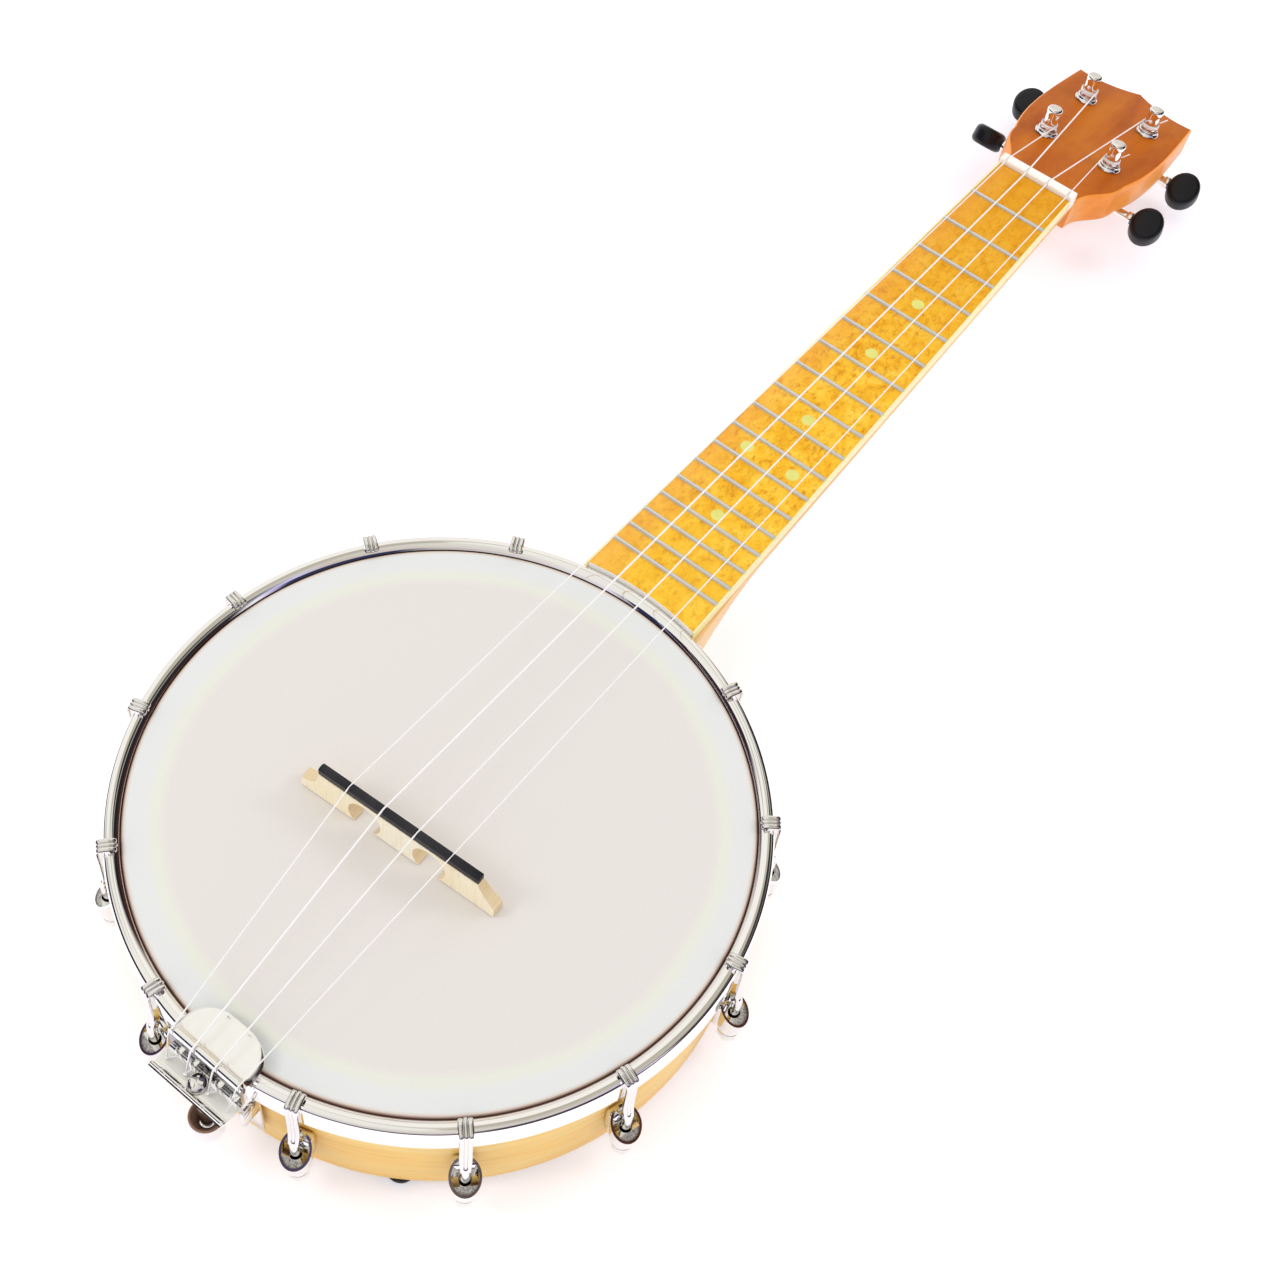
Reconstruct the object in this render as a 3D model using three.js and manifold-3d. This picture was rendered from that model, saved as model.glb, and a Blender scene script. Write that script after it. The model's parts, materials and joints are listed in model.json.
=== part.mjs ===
// Banjo ukulele: a shallow drum pot with a fretted wooden neck. Millimetres, +Z up.
// The instrument lies on its back on three rubber feet. While it is put together, the pot's axis is
// the Z axis, z is 0 at the top of the tension hoop and +X runs along the strings to the headstock.
// The last lines move the whole assembly so that its origin is the bottom centre of its box.
import * as THREE from 'three';
import { mergeVertices } from 'three/addons/utils/BufferGeometryUtils.js';
import Module from 'manifold-3d';

// Clearances and facets
const seatGap = 0.3; // between a piece and what it rests on
const cutOverrun = 3; // how far a cutting tool runs past what it cuts
const ringFacets = 48;
const roundFacets = 12;

// Scale and strings, listed from the +Y side
const scaleLength = 381;
const fretCount = 18;
const stringDiameters = [0.7, 1.0, 0.8, 0.6];
const stringSides = 6;
const nutStringSpacing = 9.4;
const bridgeStringSpacing = 12.65;
const tailStringSpacing = 8.6;

// Tension hoop: an angle ring that pulls the head down
const hoopOuterRadius = 101.85;
const hoopWidth = 5.85;
const hoopDepth = 10.6;
const hoopFlange = 2.6;
const hoopWall = 1.75;
const hoopBevel = 1.1;

// Drum head: plastic film crimped into its own flesh hoop
const headDrop = 1.3; // film's upper face below the hoop's top
const filmThickness = 0.4;
const filmBend = 0.8;
const ledgeThickness = 1.2;
const fleshHoopHeight = 5;

// Tone ring and wooden rim
const toneRingWidth = 4.5;
const toneRingHeight = 2.9;
const toneRingBevel = 0.9;
const rimSetIn = 4.25; // inside the hoop's outer edge
const rimWall = 9.1;
const potDepth = 55.4; // hoop's top to the rim's lower edge
const rimEdgeBevel = 1.2;

// Rubber feet under the rim
const footRadius = 5;
const footHeight = 3.3;
const footBevel = 0.8;
const footTurns = [0, 148, -148];

// Bracket hooks: a flat claw over the hoop, a round rod and a nut under the shoe
const hooksPerSide = 6;
const firstHookTurn = 26;
const hookStepTurn = 27.7;
const clawWidth = 5;
const clawThickness = 1.7;
const clawTipInset = 0.3; // from the hoop's inner edge
const clawRise = 0.5; // the claw's outer shoulder is higher than its tip
const clawCorner = 1.1;
const bandShoeGap = 2; // band's lower end above the shoe
const hookRodRadius = 1.5;
const hookAxisStepOut = 0.15; // rod's axis outside the band
const hookNutRadius = 3.6;
const hookNutHeight = 5;
const hookRodTail = 1.6;

// Bracket shoes: a bulb with a vertical hole on a foot against the rim
const shoeTopRise = 29.4; // above the rim's lower edge
const shoeHeight = 18;
const shoeRadius = 5;
const shoeNeckShare = 0.74;
const shoeTopShares = [0.94, 1, 1, 0.97, 0.86];
const shoeLevelShares = [0, 0.14, 0.4, 0.68, 0.9];
const shoeHoleClearance = 0.4;
const shoeFootWidth = 7.2;
const shoeFootSink = 2.7; // into the bulb
const shoeFootHeight = 13.5;
const shoeFootDrop = 1.5;
const shoeSlopeTurn = 43.5;

// Bridge on the head
const bridgeForward = 4.4; // nearer to the nut than the full scale
const bridgeY = 2.8;
const bridgeTurn = 1.9;
const bridgeHeight = 15.3;
const bridgeLength = 73;
const bridgeFootThickness = 4.8;
const bridgeTopThickness = 2.7;
const bridgeEndHeight = 4.2;
const bridgeArchRadius = 6.1;
const bridgeArchRise = 4.9; // the bore's centre above the feet
const bridgeArchOffset = 12.2;
const bridgeArchFacets = 16;
const capLength = 60;
const capHeight = 3;
const capThickness = 2.4;
const capSlotDepth = 0.7;
const capSlotWidth = 1.6;

// Tailpiece: a pressed plate whose front lobe lies over the hoop, with a lower tray behind
const tailFrontReach = 13.05; // inside the hoop's outer edge
const tailFrontLift = 2.1; // plate's underside above the hoop's top
const tailRidgeStandOff = 1.75; // outside the hoop
const tailRidgeTop = 5;
const tailTrayZ = -6.6;
const tailTrayLength = 9;
const tailLipHeight = 2.2;
const tailSheet = 1.2;
const tailHalfWidth = 14;
const tailTurn = 2; // the plate stands askew on its bolt
const tailTabShares = [0.58, 0.18, -0.5, -0.92];
const tailTabDrop = 4.6; // top below the ridge
const tailTabWidth = 1.8;
const tailTabHeight = 1.2;
const tailTabLength = 1.6;
const tailKnotSetBack = 4.6; // where a string turns back to its tab, behind the ridge
const tailKnotShares = [0.9, 0.5, -0.33, -0.7];
const tailKnotWidth = 2;
const tailBoltSetBack = 4.3;
const tailBoltRadius = 2;
const tailBoltHeadRadius = 3;
const tailBoltHeadHeight = 2.2;

// Bracket at the tail that takes the tailpiece bolt
const tailBracketHalfWidth = 13.5;
const tailBracketRise = 44; // top above the rim's lower edge
const tailBracketHeight = 31.6;
const tailBracketSheet = 1.3;
const tailEarLength = 7.4;
const tailEarHeight = 10;
const tailEarDrop = 4;
const tailLugRadius = 5.7;
const tailLugDrop = 21.6; // below the bracket's top
const tailLugHeight = 10;

// Steel rod that ties the neck's heel to the tail, inside the pot
const rodRadius = 4;
const rodRise = 24.4; // above the rim's lower edge
const rodHeelDepth = 14;

// Neck, in its own frame: u runs along the strings and w is 0 at the fingerboard's face
const neckBackTurn = 1.5;
const boardFaceAtPotAxis = 4;
const boardPastLastFret = 11.154; // from the last fret to the hoop
const boardThickness = 4.5;
const boardEdgeAtNut = 2.3; // outside the outer strings
const boardHalfWidthAtPot = 21.9;
const fretHeight = 1;
const fretWidth = 1.6;
const fretCrown = 1;
const fretInset = 0.8;
const neckDepthAtNut = 11.4;
const neckDepthAtHeel = 15.5;
const heelRise = 4.9; // shallower than the pot
const heelHalfWidth = 23.6;
const heelLength = 48;
const neckRoundness = 2.3;
const neckArcSteps = 10;
const neckRunIntoHead = 16;
const neckSinkIntoHead = 0.8;

// String nut
const nutThickness = 4.6;
const nutRise = 2.1; // above the fingerboard's face
const nutOverhang = 0.3;
const nutSlotDepth = 1;
const nutSlotWidth = 1.5;

// Headstock, in its own frame: s runs along its face from the nut and h is 0 at the face
const headTurn = 10.5;
const headFaceDrop = 4.3;
const headThickness = 12.9;
const headLength = 95.2;
const headPeak = 5.5;
const headHalfWidth = 29.6;
const headWidestAt = 59.4;
const headShoulderAt = 29;
const headShoulderHalfWidth = 26;
const headEndHalfWidth = 27.6;
const headScoop = 2.4;
const headOutlineSteps = 5;

// Geared tuners
const tunerStationShares = [0.38025, 0.78466]; // of the headstock's length
const tunerHalfSpread = 14.9;
const postRadius = 3;
const postWaistRadius = 2.4;
const postHeight = 11.4;
const postFlareHeight = 2.6;
const postFlareRadius = 3.5;
const postWaistTurnIn = 0.3;
const bushRadius = 5.1;
const bushHeight = 2.2;
const bushSleeveRadius = 4.2;
const bushRunningGap = 0.25;
const wheelRadius = 3.7;
const wheelThickness = 4;
const shaftRadius = 1.9;
const wormGap = 0.4; // between the wheel and the worm shaft
const shaftBelowBack = 6;
const housingWall = 1;
const wheelSideRoom = 0.7;
const wheelBackRoom = 0.5;
const shaftEndRoom = 0.8;
const shaftHoleGap = 0.35;
const buttonStandOff = 8.6; // button's middle past the headstock's widest edge
const buttonLength = 16;
const buttonWidth = 13.5;
const buttonThickness = 8;
const buttonBevel = 1.1;
const buttonBore = 7;
const buttonFacets = 16;
const buttonTurns = [30, -22, -28, -30]; // near +Y, far +Y, near -Y, far -Y
const postWrapLift = 2.6;
const postWraps = 1.25;
const postWrapSteps = 8;
const postWrapPitch = 1.6;

const degree = Math.PI / 180;
const wasm = await Module();
wasm.setup();

// Radii and places that follow from the sizes above
const hoopInnerRadius = hoopOuterRadius - hoopWidth;
const rimOuterRadius = hoopOuterRadius - rimSetIn;
const bandInnerRadius = hoopOuterRadius + seatGap;
const bandOuterRadius = bandInnerRadius + clawThickness;
const hookAxisRadius = bandOuterRadius + hookAxisStepOut;
const boardStart = hoopOuterRadius + seatGap;
const fretsLength = scaleLength * (1 - 2 ** (-fretCount / 12));
const nutDistance = boardStart + boardPastLastFret + fretsLength; // from the pot's axis
const boardHalfWidthAtNut = ((stringDiameters.length - 1) / 2) * nutStringSpacing + boardEdgeAtNut;
const bridgeX = nutDistance - scaleLength + bridgeForward;
const tailFrontX = tailFrontReach - hoopOuterRadius;
const tailRidgeX = -hoopOuterRadius - tailRidgeStandOff;
const tailRearX = tailRidgeX - tailTrayLength;
const tailKnotX = tailRidgeX - tailKnotSetBack;
const tailBoltX = tailRidgeX - tailBoltSetBack;
const tailTabPlaces = tailTabShares.map((share) => share * tailHalfWidth);
const tailKnotPlaces = tailKnotShares.map((share) => share * tailHalfWidth);
const tunerStations = tunerStationShares.map((share) => share * headLength);
const shaftOffset = wheelRadius + shaftRadius + wormGap;
const housingHalfWidth = wheelRadius + wheelSideRoom + housingWall;
const housingBehindPost = wheelRadius + wheelBackRoom + housingWall;
const housingPastShaft = shaftRadius + shaftEndRoom + housingWall;
const housingDepth = shaftBelowBack - seatGap + wheelThickness / 2 + wheelSideRoom + housingWall;
const buttonReach = headHalfWidth + buttonStandOff; // from the headstock's centre line

// Heights that follow from the sizes above
const shoeTop = potDepth - shoeTopRise; // below the hoop's top
const bandDepth = shoeTop - bandShoeGap;
const tailBracketTop = tailBracketRise - potDepth;
const tailLugTop = tailBracketTop - tailLugDrop;
const rodZ = rodRise - potDepth;
const heelDepth = potDepth - heelRise;
const filmTopZ = -headDrop;
const filmUnderZ = filmTopZ - filmThickness;
const toneTopZ = filmUnderZ - seatGap;
const toneUnderZ = toneTopZ - toneRingHeight;
const rimTopZ = toneUnderZ - seatGap;
const rimUnderZ = -potDepth;
const rimInnerRadius = rimOuterRadius - rimWall;
const collarRadius = hoopInnerRadius - seatGap;
const fleshTopZ = -hoopFlange - seatGap;
const fleshOuterRadius = hoopOuterRadius - hoopWall - seatGap;
const fleshInnerRadius = rimOuterRadius + seatGap;

// Solid helpers
function signedVolume(geometry) {
  const points = geometry.getAttribute('position');
  const index = geometry.getIndex();
  const a = new THREE.Vector3();
  const b = new THREE.Vector3();
  const c = new THREE.Vector3();
  let sum = 0;
  for (let i = 0; i < index.count; i += 3) {
    a.fromBufferAttribute(points, index.getX(i));
    b.fromBufferAttribute(points, index.getX(i + 1));
    c.fromBufferAttribute(points, index.getX(i + 2));
    sum += a.dot(b.cross(c));
  }
  return sum;
}

// Keeps only merged positions and turns the faces outwards
function clean(geometry) {
  const bare = new THREE.BufferGeometry();
  bare.setAttribute('position', geometry.getAttribute('position').clone());
  bare.setIndex(geometry.getIndex());
  const merged = mergeVertices(bare);
  const index = Array.from(merged.getIndex().array);
  const kept = [];
  for (let i = 0; i < index.length; i += 3) {
    const [p, q, r] = [index[i], index[i + 1], index[i + 2]];
    if (p !== q && q !== r && r !== p) kept.push(p, q, r);
  }
  merged.setIndex(kept);
  if (signedVolume(merged) < 0) {
    for (let i = 0; i < kept.length; i += 3) [kept[i], kept[i + 1]] = [kept[i + 1], kept[i]];
    merged.setIndex(kept);
  }
  return merged;
}

function toSolid(geometry) {
  const tidy = clean(geometry);
  const vertProperties = new Float32Array(tidy.getAttribute('position').array);
  const triVerts = new Uint32Array(tidy.getIndex().array);
  return new wasm.Manifold(new wasm.Mesh({ numProp: 3, vertProperties, triVerts }));
}

function fromSolid(solid) {
  const mesh = solid.getMesh();
  const geometry = new THREE.BufferGeometry();
  geometry.setAttribute('position', new THREE.BufferAttribute(new Float32Array(mesh.vertProperties), 3));
  geometry.setIndex(new THREE.BufferAttribute(new Uint32Array(mesh.triVerts), 1));
  return geometry;
}

function join(...geometries) {
  return fromSolid(geometries.map(toSolid).reduce((whole, piece) => whole.add(piece)));
}

function cut(geometry, ...tools) {
  return fromSolid(tools.map(toSolid).reduce((whole, tool) => whole.subtract(tool), toSolid(geometry)));
}

// Revolves closed [radius, z] points about the Z axis
function turned(profile, facets) {
  const points = profile.map(([radius, z]) => new THREE.Vector2(radius, z));
  return clean(new THREE.LatheGeometry(points, facets).rotateX(90 * degree));
}

function closed(profile) {
  return [...profile, profile[0]];
}

function rod(radius, fromZ, toZ, facets = roundFacets) {
  const geometry = new THREE.CylinderGeometry(radius, radius, toZ - fromZ, facets).rotateX(90 * degree);
  return geometry.translate(0, 0, (fromZ + toZ) / 2);
}

function block(fromX, toX, fromY, toY, fromZ, toZ) {
  const geometry = new THREE.BoxGeometry(toX - fromX, toY - fromY, toZ - fromZ);
  return geometry.translate((fromX + toX) / 2, (fromY + toY) / 2, (fromZ + toZ) / 2);
}

// Extrudes a flat outline of [x, z] points along Y, centred on Y
function slab(outline, width) {
  const shape = new THREE.Shape(outline.map(([x, z]) => new THREE.Vector2(x, z)));
  const geometry = new THREE.ExtrudeGeometry(shape, { depth: width, bevelEnabled: false });
  return geometry.rotateX(90 * degree).translate(0, width / 2, 0);
}

// Skins equal rings of points and closes both ends
function loft(rings) {
  const count = rings[0].length;
  const positions = rings.flat().flatMap((point) => [point.x, point.y, point.z]);
  const index = [];
  for (let ring = 0; ring + 1 < rings.length; ring += 1) {
    for (let i = 0; i < count; i += 1) {
      const a = ring * count + i;
      const b = ring * count + ((i + 1) % count);
      index.push(a, b, b + count, a, b + count, a + count);
    }
  }
  const last = (rings.length - 1) * count;
  for (let i = 1; i + 1 < count; i += 1) index.push(0, i + 1, i, last, last + i, last + i + 1);
  const geometry = new THREE.BufferGeometry();
  geometry.setAttribute('position', new THREE.BufferAttribute(new Float32Array(positions), 3));
  geometry.setIndex(index);
  return clean(geometry);
}

// A route of straight runs, whose samples fall on its corners
class RoutedPath extends THREE.Curve {
  constructor(points) {
    super();
    this.points = points;
  }

  getPoint(share, target = new THREE.Vector3()) {
    const runs = this.points.length - 1;
    const run = Math.min(Math.floor(share * runs + 1e-9), runs - 1);
    return target.lerpVectors(this.points[run], this.points[run + 1], share * runs - run);
  }

  getPointAt(share, target) {
    return this.getPoint(share, target);
  }

  getTangentAt(share, target = new THREE.Vector3()) {
    const runs = this.points.length - 1;
    const corner = Math.round(share * runs);
    const before = this.points[Math.max(corner - 1, 0)];
    const after = this.points[Math.min(corner + 1, runs)];
    return target.subVectors(after, before).normalize();
  }
}

function roundShape(radius, sides) {
  const corners = [];
  for (let i = 0; i < sides; i += 1) {
    const turn = ((i + 0.5) / sides) * 360 * degree;
    corners.push(new THREE.Vector2(radius * Math.cos(turn), radius * Math.sin(turn)));
  }
  return new THREE.Shape(corners);
}

function strand(points, radius) {
  return clean(new THREE.ExtrudeGeometry(roundShape(radius, stringSides), {
    extrudePath: new RoutedPath(points),
    steps: points.length - 1,
    curveSegments: 1,
    bevelEnabled: false,
  }));
}

// Materials
function finish(color, roughness, metalness) {
  return new THREE.MeshStandardMaterial({ color, roughness, metalness });
}
const chrome = finish('#d8d9dc', 0.12, 1);
const nickel = finish('#b9b7b0', 0.35, 1);
const maple = finish('#e0963f', 0.3, 0);
const neckWood = finish('#d9843a', 0.3, 0);
const boardWood = finish('#e0a022', 0.35, 0);
const boneWhite = finish('#f6f2e8', 0.4, 0);
const frosted = finish('#e6e2dc', 0.6, 0);
const bridgeMaple = finish('#f0e2b8', 0.55, 0);
const ebony = finish('#2c2826', 0.45, 0);
const blackPlastic = finish('#1c1c20', 0.3, 0);
const rubber = finish('#17171a', 0.8, 0);
const nylon = finish('#eeeae6', 0.3, 0);

function piece(name, geometry, material) {
  geometry.computeVertexNormals();
  const mesh = new THREE.Mesh(geometry, material);
  mesh.name = name;
  return mesh;
}

const assembly = new THREE.Group();

// Pot: rim, tone ring, head and tension hoop
const potGroup = new THREE.Group();
assembly.add(potGroup);

function alongX(geometry, z) {
  return geometry.rotateY(90 * degree).translate(0, 0, z);
}

const rimBody = turned(closed([
  [rimInnerRadius, rimTopZ],
  [rimOuterRadius, rimTopZ],
  [rimOuterRadius, rimUnderZ + rimEdgeBevel],
  [rimOuterRadius - rimEdgeBevel, rimUnderZ],
  [rimInnerRadius, rimUnderZ],
]), ringFacets);
const rodHole = alongX(rod(rodRadius + seatGap, -hoopOuterRadius, hoopOuterRadius), rodZ);
potGroup.add(piece('rim', cut(rimBody, rodHole), maple));

const toneOuterRadius = collarRadius - filmThickness - seatGap;
const toneInnerRadius = toneOuterRadius - toneRingWidth;
potGroup.add(piece('tone_ring', turned(closed([
  [toneInnerRadius, toneUnderZ],
  [toneOuterRadius, toneUnderZ],
  [toneOuterRadius, toneTopZ - toneRingBevel],
  [toneOuterRadius - toneRingBevel, toneTopZ],
  [toneInnerRadius + toneRingBevel, toneTopZ],
  [toneInnerRadius, toneTopZ - toneRingBevel],
]), ringFacets), nickel));

potGroup.add(piece('drum_head', turned([
  [0, filmTopZ],
  [collarRadius - filmBend, filmTopZ],
  [collarRadius, filmTopZ - filmBend],
  [collarRadius, fleshTopZ],
  [fleshOuterRadius, fleshTopZ],
  [fleshOuterRadius, fleshTopZ - fleshHoopHeight],
  [fleshInnerRadius, fleshTopZ - fleshHoopHeight],
  [fleshInnerRadius, fleshTopZ - ledgeThickness],
  [collarRadius - filmThickness, fleshTopZ - ledgeThickness],
  [collarRadius - filmThickness, filmUnderZ - filmBend + filmThickness / 2],
  [collarRadius - filmBend - filmThickness / 2, filmUnderZ],
  [0, filmUnderZ],
], ringFacets), frosted));

potGroup.add(piece('tension_hoop', turned(closed([
  [hoopInnerRadius, -hoopBevel],
  [hoopInnerRadius + hoopBevel, 0],
  [hoopOuterRadius - hoopBevel, 0],
  [hoopOuterRadius, -hoopBevel],
  [hoopOuterRadius, -hoopDepth],
  [hoopOuterRadius - hoopWall, -hoopDepth],
  [hoopOuterRadius - hoopWall, -hoopFlange],
  [hoopInnerRadius, -hoopFlange],
]), ringFacets), chrome));

const footTopZ = rimUnderZ - seatGap;
const footUnderZ = footTopZ - footHeight;
footTurns.forEach((turn, i) => {
  const foot = piece(`rubber_foot_${i + 1}`, turned([
    [0, footTopZ],
    [footRadius, footTopZ],
    [footRadius, footUnderZ + footBevel],
    [footRadius - footBevel, footUnderZ],
    [0, footUnderZ],
  ], roundFacets), rubber);
  const ringRadius = rimOuterRadius - rimWall / 2;
  foot.position.set(ringRadius * Math.cos(turn * degree), ringRadius * Math.sin(turn * degree), 0);
  potGroup.add(foot);
});

// Bracket hooks and shoes, drawn at the +X side and turned to their stations
const clawTipRadius = hoopInnerRadius + clawTipInset;
const clawTopZ = seatGap + clawThickness;
const shoeUnderZ = -shoeTop - shoeHeight;
const hookNutTopZ = shoeUnderZ - seatGap;
const hookNutUnderZ = hookNutTopZ - hookNutHeight;

function hookGeometry() {
  const claw = slab([
    [clawTipRadius, seatGap],
    [bandInnerRadius, seatGap],
    [bandInnerRadius, -bandDepth],
    [bandOuterRadius, -bandDepth],
    [bandOuterRadius, clawTopZ + clawRise - clawCorner],
    [bandOuterRadius - clawCorner, clawTopZ + clawRise],
    [bandInnerRadius - clawCorner, clawTopZ + clawRise],
    [bandInnerRadius - 2 * clawCorner, clawTopZ],
    [clawTipRadius + clawCorner, clawTopZ],
    [clawTipRadius, clawTopZ - clawCorner],
  ], clawWidth);
  const shank = rod(hookRodRadius, hookNutUnderZ - hookRodTail, -bandDepth + clawWidth, 8);
  const nut = rod(hookNutRadius, hookNutUnderZ, hookNutTopZ, 6);
  shank.translate(hookAxisRadius, 0, 0);
  nut.translate(hookAxisRadius, 0, 0);
  return join(claw, shank, nut);
}

// A bulb round a vertical hole, with its own axis at the origin
function lugGeometry(radius, topZ, height, holeRadius) {
  const outside = shoeTopShares.map((share, i) => [radius * share, topZ - height * shoeLevelShares[i]]);
  return turned(closed([
    [holeRadius, topZ],
    ...outside,
    [radius * shoeNeckShare, topZ - height],
    [holeRadius, topZ - height],
  ]), roundFacets);
}

function shoeGeometry() {
  const bulb = lugGeometry(shoeRadius, -shoeTop, shoeHeight, hookRodRadius + shoeHoleClearance);
  bulb.translate(hookAxisRadius, 0, 0);
  const footTop = -shoeTop - shoeFootDrop;
  const footInnerX = rimOuterRadius + seatGap;
  const footOuterX = hookAxisRadius - shoeRadius + shoeFootSink;
  const foot = block(footInnerX, footOuterX, -shoeFootWidth / 2, shoeFootWidth / 2,
    footTop - shoeFootHeight, footTop);
  const clear = rod(hookRodRadius + shoeHoleClearance, shoeUnderZ - cutOverrun, cutOverrun);
  clear.translate(hookAxisRadius, 0, 0);
  const slope = block(-shoeHeight, shoeHeight, -shoeHeight, shoeHeight, 0, shoeHeight);
  slope.rotateY(shoeSlopeTurn * degree).translate(hookAxisRadius - shoeRadius, 0, -shoeTop);
  return cut(join(bulb, foot), clear, slope);
}

const hookTurns = [];
for (let i = 0; i < hooksPerSide; i += 1) hookTurns.push(firstHookTurn + i * hookStepTurn);
for (let i = hooksPerSide - 1; i >= 0; i -= 1) hookTurns.push(-(firstHookTurn + i * hookStepTurn));
hookTurns.forEach((turn, i) => {
  const label = String(i + 1).padStart(2, '0');
  const hook = piece(`bracket_hook_${label}`, hookGeometry(), chrome);
  const shoe = piece(`bracket_shoe_${label}`, shoeGeometry(), chrome);
  hook.rotation.z = turn * degree;
  shoe.rotation.z = turn * degree;
  potGroup.add(hook, shoe);
});

// Tailpiece plate: a side profile cut to its outline, with a hole for the bolt and four tabs
const tailGroup = new THREE.Group();
assembly.add(tailGroup);
const tailRidgeUnder = tailRidgeTop - tailSheet;
const tailTrayUnder = tailTrayZ - tailSheet;
const tailWallX = tailRidgeX + tailSheet;
const tailWallOuterX = tailRidgeX - tailSheet / 2;
const tailTabTop = tailRidgeTop - tailTabDrop;
const tailSkew = new THREE.Matrix4().makeTranslation(tailBoltX, 0, 0)
  .multiply(new THREE.Matrix4().makeRotationZ(-tailTurn * degree))
  .multiply(new THREE.Matrix4().makeTranslation(-tailBoltX, 0, 0));

function tailPlateGeometry() {
  const side = slab([
    [tailFrontX, tailFrontLift],
    [tailFrontX, tailFrontLift + tailSheet],
    [tailWallX + tailSheet, tailRidgeTop],
    [tailRidgeX, tailRidgeTop],
    [tailWallOuterX, tailRidgeTop - tailSheet / 2],
    [tailWallOuterX, tailTrayZ],
    [tailRearX + tailSheet, tailTrayZ],
    [tailRearX + tailSheet, tailTrayZ + tailLipHeight],
    [tailRearX, tailTrayZ + tailLipHeight],
    [tailRearX, tailTrayUnder],
    [tailRidgeX + tailSheet / 2, tailTrayUnder],
    [tailRidgeX + tailSheet / 2, tailRidgeUnder - tailSheet / 2],
    [tailWallX + tailSheet, tailRidgeUnder],
  ], 2 * tailHalfWidth);
  const lobe = new THREE.Shape();
  const cornerX = tailRidgeX + tailHalfWidth / 2;
  lobe.moveTo(tailRearX - cutOverrun, -tailHalfWidth);
  lobe.lineTo(cornerX, -tailHalfWidth);
  lobe.bezierCurveTo(tailFrontX, -tailHalfWidth, tailFrontX, -tailHalfWidth / 2, tailFrontX, 0);
  lobe.bezierCurveTo(tailFrontX, tailHalfWidth / 2, tailFrontX, tailHalfWidth, cornerX, tailHalfWidth);
  lobe.lineTo(tailRearX - cutOverrun, tailHalfWidth);
  lobe.closePath();
  const depth = tailRidgeTop - tailTrayUnder + 2 * cutOverrun;
  const mask = new THREE.ExtrudeGeometry(lobe, { depth, bevelEnabled: false, curveSegments: 6 });
  mask.translate(0, 0, tailTrayUnder - cutOverrun);
  const masked = fromSolid(toSolid(side).intersect(toSolid(mask)));
  const hole = rod(tailBoltRadius + seatGap, tailTrayUnder - cutOverrun, tailTrayZ + cutOverrun);
  hole.translate(tailBoltX, 0, 0);
  return join(cut(masked, hole), ...tailTabPlaces.map((y) => block(
    tailWallOuterX - tailTabLength, tailRidgeX, y - tailTabWidth / 2, y + tailTabWidth / 2,
    tailTabTop - tailTabHeight, tailTabTop,
  ))).applyMatrix4(tailSkew);
}

function stringPlace(i, spacing) {
  return ((stringDiameters.length - 1) / 2 - i) * spacing;
}
tailGroup.add(piece('tailpiece_plate', tailPlateGeometry(), chrome));

const tailLugUnder = tailLugTop - tailLugHeight;
tailGroup.add(piece('tailpiece_bolt', join(
  rod(tailBoltHeadRadius, tailTrayZ + seatGap, tailTrayZ + seatGap + tailBoltHeadHeight),
  rod(tailBoltRadius, tailLugUnder - hookRodTail, tailTrayZ + seatGap + tailBoltHeadHeight / 2),
).translate(tailBoltX, 0, 0), chrome));

function tailBracketGeometry() {
  const baseX = -rimOuterRadius - seatGap;
  const underZ = tailBracketTop - tailBracketHeight;
  const base = block(baseX - tailBracketSheet, baseX, -tailBracketHalfWidth, tailBracketHalfWidth,
    underZ, tailBracketTop);
  const earTop = tailBracketTop - tailEarDrop;
  const ears = [-1, 1].map((side) => {
    const outerY = side * tailBracketHalfWidth;
    const innerY = side * (tailBracketHalfWidth - tailBracketSheet);
    return block(baseX - tailEarLength, baseX - tailBracketSheet / 2, Math.min(outerY, innerY),
      Math.max(outerY, innerY), earTop - tailEarHeight, earTop);
  });
  const lug = lugGeometry(tailLugRadius, tailLugTop, tailLugHeight, tailBoltRadius + seatGap);
  lug.translate(tailBoltX, 0, 0);
  const web = block(tailBoltX, baseX - tailBracketSheet / 2, -tailLugRadius / 2, tailLugRadius / 2,
    underZ, tailLugTop - tailLugHeight / 4);
  const clear = rod(tailBoltRadius + seatGap, tailLugUnder - cutOverrun, tailLugTop + cutOverrun);
  clear.translate(tailBoltX, 0, 0);
  return cut(join(base, ...ears, lug, web), clear);
}
tailGroup.add(piece('tailpiece_bracket', tailBracketGeometry(), chrome));

const rodTailX = -rimOuterRadius;
const rodHeelX = rimOuterRadius + rodHeelDepth;
const tieRod = alongX(rod(rodRadius, rodTailX, rodHeelX), rodZ);
potGroup.add(piece('coordinator_rod', clean(tieRod), nickel));

// Bridge: a maple body on three feet with an ebony cap
const bridgeGroup = new THREE.Group();
bridgeGroup.position.set(bridgeX, bridgeY, filmTopZ + seatGap);
bridgeGroup.rotation.z = bridgeTurn * degree;
assembly.add(bridgeGroup);
const bridgeBodyHeight = bridgeHeight - capHeight - seatGap;

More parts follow.
